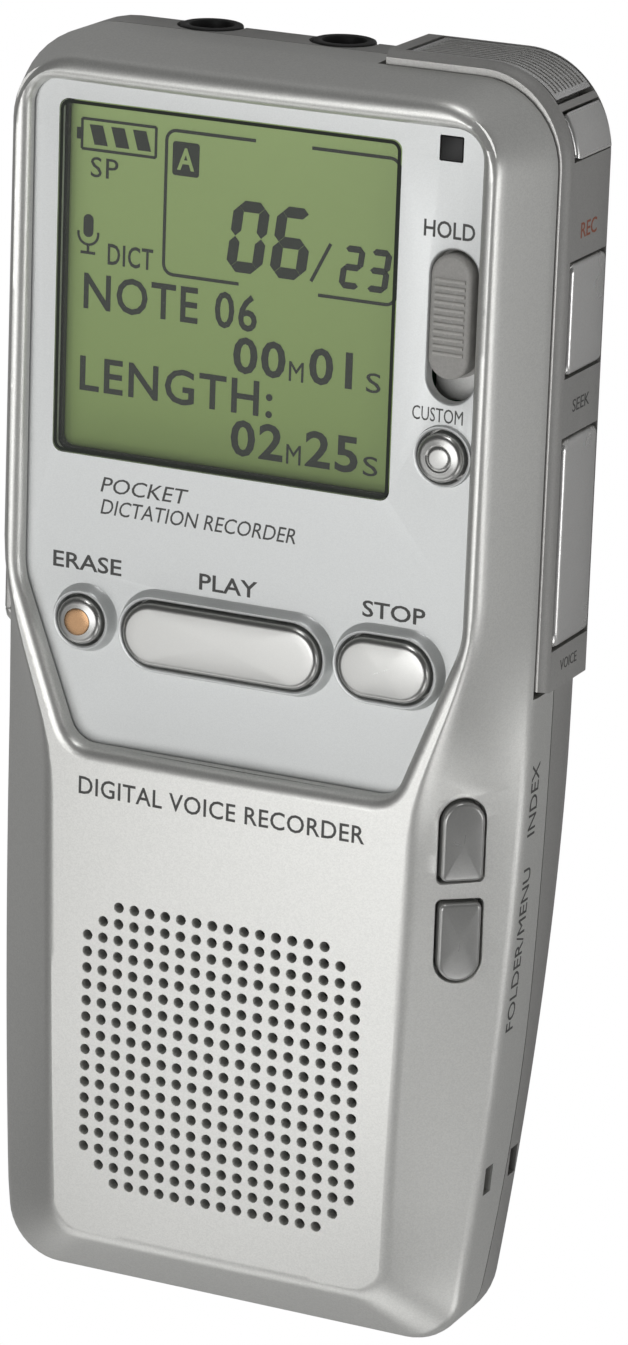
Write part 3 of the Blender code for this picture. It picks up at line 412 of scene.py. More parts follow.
def makeDisplayGreen():
    # reflective display: a green that darkens slowly down the glass, a painted shade over the display's own
    # even green
    found = material("displayGreen", (0.2, 0.28, 0.13), 0.6, size=9000, depth=0.05, speckle=0.03, mottle=0.04,
                     wear=0.0)
    tree = found.node_tree
    detail = next(n for n in tree.nodes if n.type == "GROUP")
    place = addNode(tree, "ShaderNodeTexCoord").outputs["Object"]
    split = addNode(tree, "ShaderNodeSeparateXYZ", [(0, place)])
    low, high = nodeBox("display_glass")
    fall = addNode(tree, "ShaderNodeMapRange", [("Value", split.outputs["Y"])])
    fall.inputs["From Min"].default_value = low[1]
    fall.inputs["From Max"].default_value = high[1]
    # painted shade: the darker green sits at the low end of the glass, the lighter green at the top
    ramp = addNode(tree, "ShaderNodeValToRGB", [("Fac", fall.outputs[0])])
    ramp.color_ramp.elements[0].color = (0.28, 0.40, 0.105, 1)
    ramp.color_ramp.elements[1].color = (0.43, 0.58, 0.21, 1)
    tree.links.new(ramp.outputs[0], detail.inputs["Color"])
    return found


def makeClear():
    # clear acrylic: the light passes straight through, so what lies under it stays evenly lit
    found = bpy.data.materials.new("clearAcrylic")
    found.use_nodes = True
    tree = found.node_tree
    shader = tree.nodes["Principled BSDF"]
    shader.inputs["Base Color"].default_value = (0.93, 0.97, 0.92, 1)
    shader.inputs["Metallic"].default_value = 0.0
    shader.inputs["IOR"].default_value = 1.49
    shader.inputs["Alpha"].default_value = 0.04
    shader.inputs["Specular IOR Level"].default_value = 0.15
    place = addNode(tree, "ShaderNodeTexCoord").outputs["Object"]
    smear = addNode(tree, "ShaderNodeTexNoise", [("Vector", place)], Scale=160.0, Detail=3.0)
    rough = mathNode(tree, "ADD", mathNode(tree, "MULTIPLY", smear.outputs["Fac"], 0.06), 0.03)
    tree.links.new(rough, shader.inputs["Roughness"])
    return found


made["displayGreen"] = makeDisplayGreen()
made["clearAcrylic"] = makeClear()


def dress(obj, finish):
    obj.data.materials.clear()
    obj.data.materials.append(made[finish])
    return obj


def settle(obj, finish, body, nodes=()):
    # colour a piece, tie it to its body, and hide the CAD nodes it stands for
    dress(obj, finish)
    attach(obj, body)
    if nodes:
        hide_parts(*nodes)
    return obj


print("materials made")


# the case follows the same rules as its CAD shape; lengths are in millimetres, y from the bottom end
case = {
    "topRadius": 7.3, "bottomRadius": 4.6, "wall": 1.2, "rimFillet": 1.3, "edgeFillet": 0.9,
    "arcPoints": 12, "sidePoints": 46, "endPoints": 20,
    # below taperStart the sides ease in and the bevel grows shallower
    "taperStart": 62.0, "sideTaper": 3.2, "bevel": 5.3, "bevelTaper": 4.2, "leastBevel": 1.8,
    # the seam and the back come forward towards the bottom end
    "seam": 9.4, "seamTaper": 4.45, "seamStart": 32.0, "backTaper": 5.0, "backStart": 52.0,
}
plateau = {"stepStart": 47.0, "stepLength": 21.0, "lowWidth": 16.0, "spread": 0.03, "highWidth": 22.3,
           "bottom": 4.7, "topInset": 1.2, "bottomRadius": 3.0, "topRadius": 5.8}
crown = {"height": 2.45, "across": 0.0016, "above": 0.00005, "below": 0.0014, "middle": 24}


def bodyWidth(y):
    # half width: full at the top, easing in by a square law below taperStart
    return halfWidth - case["sideTaper"] * np.clip(1 - y / case["taperStart"], 0, None) ** 2


def bevelDepth(y):
    taper = np.clip(1 - y / case["taperStart"], 0, None) ** 1.5
    return np.maximum(case["leastBevel"], case["bevel"] - case["bevelTaper"] * taper)


def seamDepth(y):
    return case["seam"] - case["seamTaper"] * np.clip(1 - y / case["seamStart"], 0, None) ** 2


def backAt(y):
    return backDepth - case["backTaper"] * np.clip(1 - y / case["backStart"], 0, None) ** 1.6


def plateauWidth(y):
    # half width of the front face: narrow below, then a smooth step out to the full width
    step = np.clip((y - plateau["stepStart"]) / plateau["stepLength"], 0, 1)
    low = plateau["lowWidth"] + plateau["spread"] * y
    return low + (plateau["highWidth"] - low) * step * step * (3 - 2 * step)


def fromMiddle(y):
    # how far a place lies above and below the crown's highest line
    return np.clip(y - crown["middle"], 0, None), np.clip(crown["middle"] - y, 0, None)


def crownAt(x, y):
    above, below = fromMiddle(y)
    arch = crown["across"] * x * x
    return crown["height"] - arch - crown["above"] * above ** 2 - crown["below"] * below ** 2


def bodyOutline(width, bottom, top, bottomRadius, topRadius):
    # half outline from the middle of the bottom edge round the right side to the middle of the top edge,
    # then mirrored: quarter circles at the corners, width(y) along the side
    quarter = np.linspace(-math.pi / 2, 0, case["arcPoints"])
    x, y = np.cos(quarter) - 1, np.sin(quarter) + 1
    lowArc = np.stack([bottomRadius * x, bottom + bottomRadius * y], -1)
    highArc = np.stack([topRadius * x, top - topRadius * y], -1)[::-1]
    first, last = bottom + bottomRadius, top - topRadius
    side = np.linspace(first, last, case["sidePoints"])[1:-1]
    right = np.concatenate([lowArc, np.stack([0 * side, side], -1), highArc])
    right[:, 0] += width(right[:, 1])
    ends = np.linspace(0, 1, case["endPoints"], endpoint=False)[1:]
    lowEdge = np.stack([ends * right[0, 0], 0 * ends + bottom], -1)
    highEdge = np.stack([(1 - ends) * right[-1, 0], 0 * ends + top], -1)
    half = np.concatenate([lowEdge, right, highEdge])
    return np.concatenate([half, half[::-1] * [-1, 1]])


def filletProfile(stages, radii, steps=5):
    # rings through the stages, each inner stage rounded by a quadratic curve over its radius
    rings = [stages[0]]
    for k in range(1, len(stages) - 1):
        here, back, ahead = stages[k], stages[k - 1], stages[k + 1]
        toBack, toAhead = back - here, ahead - here
        lb = np.linalg.norm(toBack, axis=1, keepdims=True)
        la = np.linalg.norm(toAhead, axis=1, keepdims=True)
        reach = np.minimum(radii[k - 1], np.minimum(lb, la) * 0.45)
        a = here + toBack / np.maximum(lb, 1e-9) * reach
        b = here + toAhead / np.maximum(la, 1e-9) * reach
        for t in np.linspace(0, 1, steps):
            rings.append((1 - t) ** 2 * a + 2 * t * (1 - t) * here + t * t * b)
    rings.append(stages[-1])
    return np.stack(rings)


def makeShell(name, rings, centre, upwards):
    # open surface closed by a fan at its centre, thickened inwards by a Solidify
    rows, columns = rings.shape[:2]
    points = np.concatenate([rings.reshape(-1, 3), [centre]])
    last = (rows - 1) * columns + np.arange(columns)
    fan = np.stack([last, np.roll(last, -1), np.full(columns, rows * columns)], -1)
    faces = gridFaces(rows, columns)
    if upwards:
        everyFace = faces.tolist() + fan.tolist()
    else:
        everyFace = faces[:, ::-1].tolist() + fan[:, ::-1].tolist()
    obj = meshObject(name, points, everyFace)
    wall = obj.modifiers.new("wall", "SOLIDIFY")
    wall.thickness = case["wall"] * mm
    wall.offset = -1
    wall.use_even_offset = True
    return bake(obj)


def frontSurface():
    body = bodyOutline(bodyWidth, 0.0, bodyTop, case["bottomRadius"], case["topRadius"])
    rim = bodyOutline(plateauWidth, plateau["bottom"], bodyTop - plateau["topInset"], plateau["bottomRadius"],
                      plateau["topRadius"])
    seam = np.concatenate([body, -seamDepth(body[:, 1:])], 1)
    edge = np.concatenate([body, -bevelDepth(body[:, 1:])], 1)
    top = np.concatenate([rim, crownAt(rim[:, :1], rim[:, 1:])], 1)
    centreY = middleOf("speaker_cone")[1]
    flat = rim * 0.9 + np.array([0, centreY]) * 0.1
    inner = np.concatenate([flat, crownAt(flat[:, :1], flat[:, 1:])], 1)
    rings = filletProfile([seam, edge, top, inner], [case["edgeFillet"], case["rimFillet"]])
    crowned = []
    for scale in np.linspace(0.8, 0.06, 12):
        ring = rim * scale + np.array([0, centreY]) * (1 - scale)
        crowned.append(np.concatenate([ring, crownAt(ring[:, :1], ring[:, 1:])], 1))
    return np.concatenate([rings, np.stack(crowned)]), (0, centreY, crown["height"])


# edge holds (inset from the side, rise from the back) of the rings that round the back's edge
rearShape = {"seamGap": 0.15, "edge": ((0.0, 3.0), (0.9, 0.9), (3.0, 0.0)), "fillets": (0.9, 0.9, 1.2),
             "flatWidth": 12.0, "flatLow": 12.0, "flatHigh": 99.0, "middle": 55.0}


def rearSurface():
    stages = []
    body = bodyOutline(bodyWidth, 0.0, bodyTop, case["bottomRadius"], case["topRadius"])
    stages.append(np.concatenate([body, -seamDepth(body[:, 1:]) - rearShape["seamGap"]], 1))
    for inset, rise in rearShape["edge"]:
        ring = bodyOutline(lambda y: bodyWidth(y) - inset, inset, bodyTop - inset, case["bottomRadius"],
                           case["topRadius"])
        stages.append(np.concatenate([ring, rise - backAt(ring[:, 1:])], 1))
    inner = bodyOutline(lambda y: rearShape["flatWidth"] + 0 * y, rearShape["flatLow"], rearShape["flatHigh"],
                        case["bottomRadius"], case["topRadius"])
    stages.append(np.concatenate([inner, -backAt(inner[:, 1:])], 1))
    rings = list(filletProfile(stages, rearShape["fillets"], 4))
    for scale in np.linspace(0.9, 0.1, 9):
        ring = inner * scale + np.array([0, rearShape["middle"]]) * (1 - scale)
        rings.append(np.concatenate([ring, -backAt(ring[:, 1:])], 1))
    return np.stack(rings), (0, rearShape["middle"], -backDepth)


panel = {"lowWidth": 15.3, "low": 50.1, "highWidth": 20.8, "kink": 64.6, "top": 108.0}


def panelOutline(grow=0.0):
    # six rounded corners: narrow at the low end, full width above the kink
    half = [(panel["lowWidth"], panel["low"], 2.6), (panel["highWidth"], panel["kink"], 8.0),
            (panel["highWidth"], panel["top"], 2.4)]
    outline = rounded(half + [(-x, y, r) for x, y, r in reversed(half)], 8)
    return grown(outline, grow) if grow else outline


speakerField = {"count": 18, "pitch": 1.52, "radius": 0.42, "cornerRows": (2, 1), "sides": 12}


def speakerHoles():
    # round holes on a square grid with three left out at each corner, as one mesh of prisms
    n = speakerField["count"]
    k = np.arange(n)
    i, j = np.meshgrid(k, k)
    fromEnd = np.minimum(j, n - 1 - j)
    inset = np.where(fromEnd == 0, speakerField["cornerRows"][0],
                     np.where(fromEnd == 1, speakerField["cornerRows"][1], 0))
    keep = (i >= inset) & (i < n - inset)
    x = (i[keep] - (n - 1) / 2) * speakerField["pitch"]
    y = (j[keep] - (n - 1) / 2) * speakerField["pitch"] + middleOf("speaker_cone")[1]
    sides = speakerField["sides"]
    a = np.linspace(0, 2 * math.pi, sides, endpoint=False)
    # a small countersink: wider at the skin, so each hole has a soft lip
    holeRadius = speakerField["radius"]
    levels = [(holeRadius, -1.5), (holeRadius, 0), (holeRadius + 0.16, 0.3)]
    rings = []
    for radius, rise in levels:
        z = crownAt(x, y) - 0.14 + rise
        rings.append(np.stack([x[:, None] + radius * np.cos(a), y[:, None] + radius * np.sin(a),
                               z[:, None] + 0 * a], -1))
    points = np.stack(rings, 1)
    count = len(x)
    base = (np.arange(count) * 3 * sides)[:, None, None]
    quads = (base + gridFaces(3, sides)[None]).reshape(-1, 4).tolist()
    start = base[:, 0, 0]
    bottoms = (start[:, None] + np.arange(sides)[::-1]).tolist()
    tops = (start[:, None] + 2 * sides + np.arange(sides)).tolist()
    return meshObject("speakerHoles", points.reshape(-1, 3), quads + bottoms + tops)


def arcBand(inner, outer, firstAngle, lastAngle, sideY=None, topX=None, steps=24):
    # outline that follows the top right corner between two offsets from the case's side
    radius, cornerX, cornerY = case["topRadius"], halfWidth - case["topRadius"], bodyTop - case["topRadius"]

    def path(offset):
        a = np.radians(np.linspace(firstAngle, lastAngle, steps + 1))
        reach = radius + offset
        parts = [np.stack([cornerX + reach * np.cos(a), cornerY + reach * np.sin(a)], -1)]
        if sideY is not None:
            parts.insert(0, [[halfWidth + offset, sideY]])
        if topX is not None:
            parts.append([[topX, bodyTop + offset]])
        return np.concatenate(parts)
    return np.concatenate([path(outer), path(inner)[::-1]])


side = {"out": 0.55, "keyOut": 0.9, "inset": 1.9, "low": -15.4, "high": -5.5, "endY": 59.0, "bumpX": 8.6,
        "bump": 0.45, "keyLow": -14.7, "keyHigh": -7.4, "gap": 0.25, "roundIn": 0.3, "roundUp": 0.5,
        "chamferStart": -7.0, "chamferOut": 0.1}


def bezelPocket():
    gap = side["gap"]
    outline = arcBand(-side["inset"] - gap, 3.0, 0, 90, side["endY"] - gap, side["bumpX"] - gap)
    return slab("tool", outline, side["low"] - gap, side["high"] + gap)


def cardPocket():
    low, high = designBox("card_door")
    gap = side["gap"]
    return boxTool((low[0] - 2, low[1] - gap, low[2] - gap), (2.6 - halfWidth, high[1] + gap, high[2] + gap))


bevelKey = {"x": 20.85, "z": -1.05, "tilt": math.radians(39.6), "halfAcross": 1.85, "halfAlong": 3.5,
            "softCorner": 1.8, "tightCorner": 0.5}


def bevelKeyOutline(roundEnd, grow=0.0):
    # a rounded oblong whose one end is rounder: the upper end for 1, the lower end for -1
    x, y = bevelKey["halfAcross"] + grow, bevelKey["halfAlong"] + grow
    soft, tight = bevelKey["softCorner"] + grow, bevelKey["tightCorner"]
    low, high = (tight, soft) if roundEnd > 0 else (soft, tight)
    return rounded([(-x, -y, low), (x, -y, low), (x, y, high), (-x, y, high)], 10)


bevelKeys = {"index": (46.7, 1), "menu": (37.7, -1)}


def bevelPlace(y):
    return frameOf((bevelKey["x"], y, bevelKey["z"]), bevelKey["tilt"])


strap = {"inside": 20.5, "outside": 27.0, "low": 14.0, "high": 16.6, "height": 1.6, "frontZ": -4.2}


def strapTool(z, height):
    low, high = z - height / 2, z + height / 2
    return boxTool((strap["inside"], strap["low"], low), (strap["outside"], strap["high"], high))


def flaredTool(outline, surface, radius, low):
    # cutter whose wall turns outwards in a quarter circle as it meets the surface height
    rings = [ringAt(outline, low)]
    for t in np.linspace(0, math.pi / 2, 5):
        ring = grown(outline, radius * (1 - math.cos(t)))
        height = surface(ring[:, :1], ring[:, 1:])
        rings.append(np.concatenate([ring, height + radius * (math.sin(t) - 1)], 1))
    top = grown(outline, radius + 0.25)
    rings.append(np.concatenate([top, surface(top[:, :1], top[:, 1:]) + 0.06], 1))
    rings.append(ringAt(top, 5.0))
    return np.stack(rings)


def followCrown(obj):
    # corners that lie on the crowned front take the crown's own slope, so long thin faces don't show
    mesh = obj.data
    count = len(mesh.loops)
    normals = np.zeros(count * 3, np.float32)
    mesh.corner_normals.foreach_get("vector", normals)
    normals = normals.reshape(-1, 3)
    corner = np.zeros(count, np.int32)
    mesh.loops.foreach_get("vertex_index", corner)
    places = np.zeros(len(mesh.vertices) * 3, np.float32)
    mesh.vertices.foreach_get("co", places)
    at = toDesign(places.reshape(-1, 3))[corner]
    facing = np.zeros(len(mesh.polygons) * 3, np.float32)
    mesh.polygons.foreach_get("normal", facing)
    sides = np.zeros(len(mesh.polygons), np.int32)
    mesh.polygons.foreach_get("loop_total", sides)
    facing = np.repeat(facing.reshape(-1, 3), sides, axis=0)
    x, y = at[:, 0], at[:, 1]
    above, below = fromMiddle(y)
    slope = np.stack([2 * crown["across"] * x, 2 * crown["above"] * above - 2 * crown["below"] * below,
                      1 + 0 * x], -1)
    slope /= np.linalg.norm(slope, axis=1, keepdims=True)
    on = (np.abs(at[:, 2] - crownAt(x, y)) < 0.03) & ((facing * slope).sum(1) > 0.985)
    normals[on] = slope[on]
    mesh.normals_split_custom_set(normals.tolist())


cover = {"openingLip": 1.1, "keyLip": 0.28}


def makeFrontCover():
    rings, centre = frontSurface()
    shell = makeShell("frontCover", rings, centre, True)
    wall = slab("tool", panelOutline(1.3), 0.2, 1.0)
    carve(wall, [slab("tool", panelOutline(), -1, 2)])
    carve(shell, [wall], "UNION")
    opening = resample(panelOutline(), 360)
    carve(shell, [loft("tool", flaredTool(opening, crownAt, cover["openingLip"], -3.0))])
    carve(shell, [bezelPocket(), cardPocket(), strapTool(strap["frontZ"], strap["height"])])
    for y, roundEnd in bevelKeys.values():
        outline = bevelKeyOutline(roundEnd, side["gap"])
        local = flaredTool(outline, lambda u, v: 0 * u + 0.03, cover["keyLip"], -3.0)
        carve(shell, [loft("tool", bevelPlace(y)(local))])
    carve(shell, [speakerHoles()])
    smoothShade(shell, 32)
    followCrown(shell)
    settle(shell, "coverSilver", "case", ["front_cover"])


makeFrontCover()
print("front cover done")


keys = {
    # design centre x, y, length, width, cap top, foot growth, collar top
    "play": (-1.4, 61.0, 18.6, 5.6, 1.8, 0.95, 1.15),
    "stop": (13.9, 61.3, 8.5, 5.3, 1.8, 0.95, 1.15),
    "erase": (-14.9, 61.2, 4.2, 4.2, 1.8, 0.95, 1.15),
    "custom": (18.05, 80.2, 4.2, 4.2, 1.2, 0.6, 0.4),
}
hold = {"x": 18.35, "slotY": 91.25, "slotWidth": 4.3, "slotLength": 13.0, "capY": 92.2, "length": 10.6,
        "width": 3.7, "top": 0.9, "ribs": 11, "ribPitch": 0.62, "ribRise": 0.16}
capShape = {"edge": 0.55, "dome": 0.16, "rings": 7, "gap": 0.25, "points": 96, "skirt": -1.35,
            "flangeLow": -1.75}


keyCollar = {"lip": 0.5, "lipWidth": 0.25, "lipDrop": 0.12, "slopeSteps": 9}


def collarRings(outline, foot, rise):
    # an S-shaped slope from the panel up to a rounded lip round the key
    lip, width, drop = keyCollar["lip"], keyCollar["lipWidth"], keyCollar["lipDrop"]
    profile = []
    for t in np.linspace(0, 1, keyCollar["slopeSteps"]):
        profile.append((foot + (lip - foot) * t, rise * t * t * (3 - 2 * t)))
    for t in np.linspace(0.25, 1, 4) * math.pi / 2:
        profile.append((lip - width * math.sin(t), rise - drop * (1 - math.cos(t))))
    return [ringAt(grown(outline, out), height) for out, height in profile]


def makePanel():
    outline = panelOutline(0.2)
    sheet = slab("controlPanel", outline, -1.1, 0.0)
    (x0, y0, _), (x1, y1, _) = designBox("display_window")
    gap = 0.08
    window = boxOutline(x0 - gap, y0 - gap, x1 + gap, y1 + gap, 0.9)
    tools = [slab("tool", window, -3, 3)]
    (x0, y0, _), (x1, y1, _) = designBox("indicator_window")
    tools.append(slab("tool", boxOutline(x0 - gap, y0 - gap, x1 + gap, y1 + gap, 0.15), -3, 3))
    slot = resample(pill(hold["slotWidth"], hold["slotLength"]), capShape["points"])
    slot += [hold["x"], hold["slotY"]]
    tools.append(loft("tool", flaredTool(slot, lambda u, v: 0 * u, 0.22, -3.0)))
    carve(sheet, tools)
    for x, y, length, width, _, foot, rise in keys.values():
        around = resample(pill(length, width), capShape["points"]) + np.array([x, y])
        rings = collarRings(around, foot, rise)
        collar = loft("tool", [ringAt(grown(around, foot), -0.5), *rings])
        carve(sheet, [collar], "UNION")
        carve(sheet, [slab("tool", grown(around, capShape["gap"]), -3, 5)])
    smoothShade(sheet, 30)
    settle(sheet, "panelSilver", "case", ["control_panel"])


def keyStem(length, width):
    # stem and retaining flange under the panel, as rings with the same point count as the cap
    low, high = capShape["flangeLow"], capShape["skirt"]
    steps = [(1.6, 1.6, 0.0, low - 0.2), (1.6, 1.6, 0.0, low),
             (length, width, 0.8, low), (length, width, 0.8, high)]
    return [ringAt(resample(pill(a, b, grow), capShape["points"]), z) for a, b, grow, z in steps]


def capRings(outline, low, top, edge, dome):
    # straight wall, quarter-round edge, then a shallow dome in shrinking rings
    rings = [ringAt(outline, low)]
    for t in np.linspace(0, math.pi / 2, 7):
        ring = grown(outline, -edge * (1 - math.cos(t)))
        rings.append(ringAt(ring, top - dome - edge + edge * math.sin(t)))
    inner = grown(outline, -edge)
    middle = inner.mean(0)
    for scale in np.linspace(0.9, 0.06, capShape["rings"]):
        rings.append(ringAt(inner * scale + middle * (1 - scale), top - dome * scale * scale))
    return rings


customGroove = {"inner": 0.85, "outer": 1.3, "depth": 0.18, "points": 48}


def makeKeys():
    for name, (x, y, length, width, top, _, _) in keys.items():
        outline = resample(pill(length, width), capShape["points"])
        rings = keyStem(length, width)
        rings += capRings(outline, capShape["skirt"], top, capShape["edge"], capShape["dome"])
        cap = loft(name + "Cap", np.stack(rings) + np.array([x, y, 0]), angle=40)
        if name == "custom":
            # a shallow ring groove round a raised middle
            carve(cap, [grooveTool(x, y, top)])
            smoothShade(cap, 40)
        settle(cap, "capChrome", name + "_button", [name + "_button"])
        if name == "erase":
            # a warm-coloured disc set into the middle of the cap
            profile = [(1.2, top - 0.3), (1.2, top + 0.01), (1.05, top + 0.05), (0.5, top + 0.07)]
            disc = turned("eraseDisc", profile, (x, y, 0), steps=40)
            settle(disc, "capWarm", "erase_button")


def grooveTool(x, y, top):
    # closed ring with a pointed lower edge
    inner, outer, count = customGroove["inner"], customGroove["outer"], customGroove["points"]
    a = np.linspace(0, 2 * math.pi, count, endpoint=False)
    high, low, point = top + 0.4, top - 0.02, top - customGroove["depth"]
    section = [(inner, high), (inner, low), ((inner + outer) / 2, point), (outer, low), (outer, high)]
    rings = [np.stack([x + r * np.cos(a), y + r * np.sin(a), 0 * a + z], -1) for r, z in section]
    points = np.concatenate(rings)
    faces = gridFaces(6, count) % len(points)
    return meshObject("tool", points, faces)


def makeHold():
    x, y, length, width, top = hold["x"], hold["capY"], hold["length"], hold["width"], hold["top"]
    low, high, long = capShape["flangeLow"], capShape["skirt"], length + 0.4
    flange = [(1.4, 2.4, -2.3), (1.4, 2.4, low), (5.3, long, low), (5.3, long, high)]
    rings = [ringAt(resample(pill(a, b), capShape["points"]), z) for a, b, z in flange]
    outline = resample(pill(width, length), capShape["points"])
    body = capRings(outline, capShape["skirt"], top - hold["ribRise"], 0.35, 0.05)
    cap = loft("holdCap", np.stack(rings + body) + np.array([x, y, 0]), angle=40)
    # fine cross ribs over the middle of the cap
    for k in range(hold["ribs"]):
        at = y + (k - (hold["ribs"] - 1) / 2) * hold["ribPitch"]
        a = np.linspace(0, math.pi, 7)
        section = np.stack([0.17 * np.cos(a), hold["ribRise"] * np.sin(a) - 0.02], -1)
        half = width / 2 - 0.5
        ends = [np.stack([np.full(7, px), at + section[:, 0], top - hold["ribRise"] + section[:, 1]], -1)
                for px in (x - half, x + half)]
        faces = gridFaces(2, 7).tolist() + [list(range(6, -1, -1)), list(range(7, 14))]
        rib = meshObject("tool", np.concatenate(ends), faces)
        carve(cap, [rib], "UNION")
    smoothShade(cap, 35)
    settle(cap, "greyRubberised", "hold_slider", ["hold_slider"])


def makeWindow():
    window = softCopy("display_window", 0.1, 3, "displayWindow")
    settle(window, "clearAcrylic", "case", ["display_window"])


makePanel()
makeKeys()
makeHold()
makeWindow()
print("panel, keys and slider done")


bevelCap = {"rise": 0.55, "edge": 0.35, "dome": 0.1, "points": 88, "stem": 1.4, "flange": 0.5,
            "stemLow": -2.3, "flangeLow": -2.1, "skirt": -1.7}


def makeBevelKeys():
    for name, (y, roundEnd) in bevelKeys.items():
        outline = resample(bevelKeyOutline(roundEnd), bevelCap["points"])
        wide = resample(bevelKeyOutline(roundEnd, bevelCap["flange"]), bevelCap["points"])
        stem = resample(pill(bevelCap["stem"], bevelCap["stem"]), bevelCap["points"])
        low, skirt = bevelCap["flangeLow"], bevelCap["skirt"]
        rings = [ringAt(stem, bevelCap["stemLow"]), ringAt(stem, low), ringAt(wide, low), ringAt(wide, skirt)]
        rings += capRings(outline, skirt, bevelCap["rise"], bevelCap["edge"], bevelCap["dome"])
        cap = loft(name + "Cap", bevelPlace(y)(np.stack(rings)), angle=40)
        settle(cap, "bevelKeyGrey", name + "_button", [name + "_button"])


sideKeys = {"recordY": (86.5, 96.0), "seekY": (62.8, 80.9), "newAngle": (6, 34), "grilleAngle": 42,
            "grilleEnd": 10.3, "ribPitch": 0.72, "ribWidth": 0.42}


def bezelOutline(out, end=0.0):
    # along the side wall flush, then swelling over the microphone to the full bump height
    outer = arcBand(-side["inset"], out, 0, 90, side["endY"] + end, side["bumpX"] + end)
    cornerX, cornerY, radius = halfWidth - case["topRadius"], bodyTop - case["topRadius"], case["topRadius"]
    x, y = outer[:, 0], outer[:, 1]
    lift = np.clip((y - cornerY) / radius, 0, 1)
    onArc = (x > cornerX) & (np.hypot(x - cornerX, y - cornerY) > radius - 0.5)
    return np.stack([x, y + side["bump"] * lift * (onArc | (y > bodyTop - 0.5))], -1)


def makeBezel():
    back = side["out"] - side["roundIn"]
    levels = [(bezelOutline(back, end=0.3), side["low"])]
    for t in np.linspace(0, math.pi / 2, 5):
        outline = bezelOutline(back + side["roundIn"] * math.sin(t))
        levels.append((outline, side["low"] + side["roundUp"] * (1 - math.cos(t))))
    top = side["chamferStart"]
    drop = side["high"] - top
    for t in np.linspace(0, 1, 7):
        # the front edge leans back in a soft chamfer
        lean = t * t * (3 - 2 * t)
        out = side["out"] + (side["chamferOut"] - side["out"]) * lean
        levels.append((bezelOutline(out, end=0.4 * t), top + drop * t))
    bezel = loft("sideBezel", np.stack([ringAt(o, z) for o, z in levels]))
    gap = side["gap"]
    low, high = side["keyLow"] - gap, side["keyHigh"] + gap
    tools = [boxTool((20, y0 - gap, low), (29, y1 + gap, high))
             for y0, y1 in (sideKeys["recordY"], sideKeys["seekY"])]
    a0, a1 = sideKeys["newAngle"]
    tools.append(slab("tool", arcBand(-4, 4, a0 - 2, a1 + 2), low, high))
    tools.append(slab("tool", arcBand(-0.6, 4, sideKeys["grilleAngle"] - 1.5, 90, None, 10.0), low, high))
    tools.append(boxTool((14.0, 106, -12.6), (19.0, 115, -9.4)))
    carve(bezel, tools)
    smoothShade(bezel, 30)
    settle(bezel, "rearSilver", "case", ["side_bezel"])


def facing(halfLength, halfHeight, radius):
    return resample(boxOutline(-halfHeight, -halfLength, halfHeight, halfLength, radius, 6), 72)


def towardsSide(rings, x, y, z):
    # local x, y, out becomes world -z, y, +x
    rings = np.asarray(rings, float)
    return np.stack([x + rings[..., 2], y + rings[..., 1], z - rings[..., 0]], -1)


def makeSideKeys():
    middle = (side["keyLow"] + side["keyHigh"]) / 2
    inside = halfWidth - side["inset"]
    base = side["keyOut"] + side["inset"]
    halfZ = (side["keyHigh"] - side["keyLow"]) / 2
    y0, y1 = sideKeys["recordY"]
    halfY = (y1 - y0) / 2
    stem, flange = facing(1, 1, 0.5), facing(halfY + 0.6, halfZ - 0.1, 0.6)
    levels = [ringAt(stem, -1.1), ringAt(stem, -0.7), ringAt(flange, -0.7), ringAt(flange, -0.3)]
    levels += capRings(facing(halfY, halfZ, 0.6), -0.3, base, 0.5, 0.12)
    cap = loft("recordCap", towardsSide(np.stack(levels), inside, (y0 + y1) / 2, middle), angle=40)
    settle(cap, "sideKeySilver", "record_button", ["record_button"])

    y0, y1 = sideKeys["seekY"]
    halfY = (y1 - y0) / 2
    levels = [ringAt(facing(halfY - 0.2, halfZ, 0.6), -0.1)]
    levels += capRings(facing(halfY, halfZ, 0.6), 1.0, base - 0.3, 0.6, 0.1)
    rocker = loft("seekRocker", towardsSide(np.stack(levels), inside + 0.3, (y0 + y1) / 2, middle), angle=40)
    bore = turned("tool", [(0.75, -5), (0.75, 5)], (inside + 1.5, (y0 + y1) / 2, middle), steps=20)
    carve(rocker, [bore])
    smoothShade(rocker, 40)
    settle(rocker, "sideKeySilver", "seek_rocker", ["seek_rocker"])

    a0, a1 = sideKeys["newAngle"]
    full = arcBand(-1.7, side["keyOut"], a0, a1, steps=16)
    slim = arcBand(-1.7, side["keyOut"] - 0.4, a0 + 2, a1 - 2, steps=16)
    rings = []
    for t in np.linspace(0, math.pi / 2, 6):
        rings.append(ringAt(slim + (full - slim) * math.sin(t), side["keyLow"] + 0.5 * (1 - math.cos(t))))
    for t in np.linspace(math.pi / 2, 0, 6):
        rings.append(ringAt(slim + (full - slim) * math.sin(t), side["keyHigh"] - 0.5 * (1 - math.cos(t))))
    cap = loft("newCap", np.stack(rings), angle=40)
    settle(cap, "sideKeySilver", "new_button", ["new_button"])


def bulged(outline):
    # lifted over the round corner, up to 0.35 at the top
    rise = 0.35 * np.clip((outline[:, 1] - bodyTop + case["topRadius"]) / 6, 0, 1)
    return np.stack([outline[:, 0], outline[:, 1] + rise], -1)


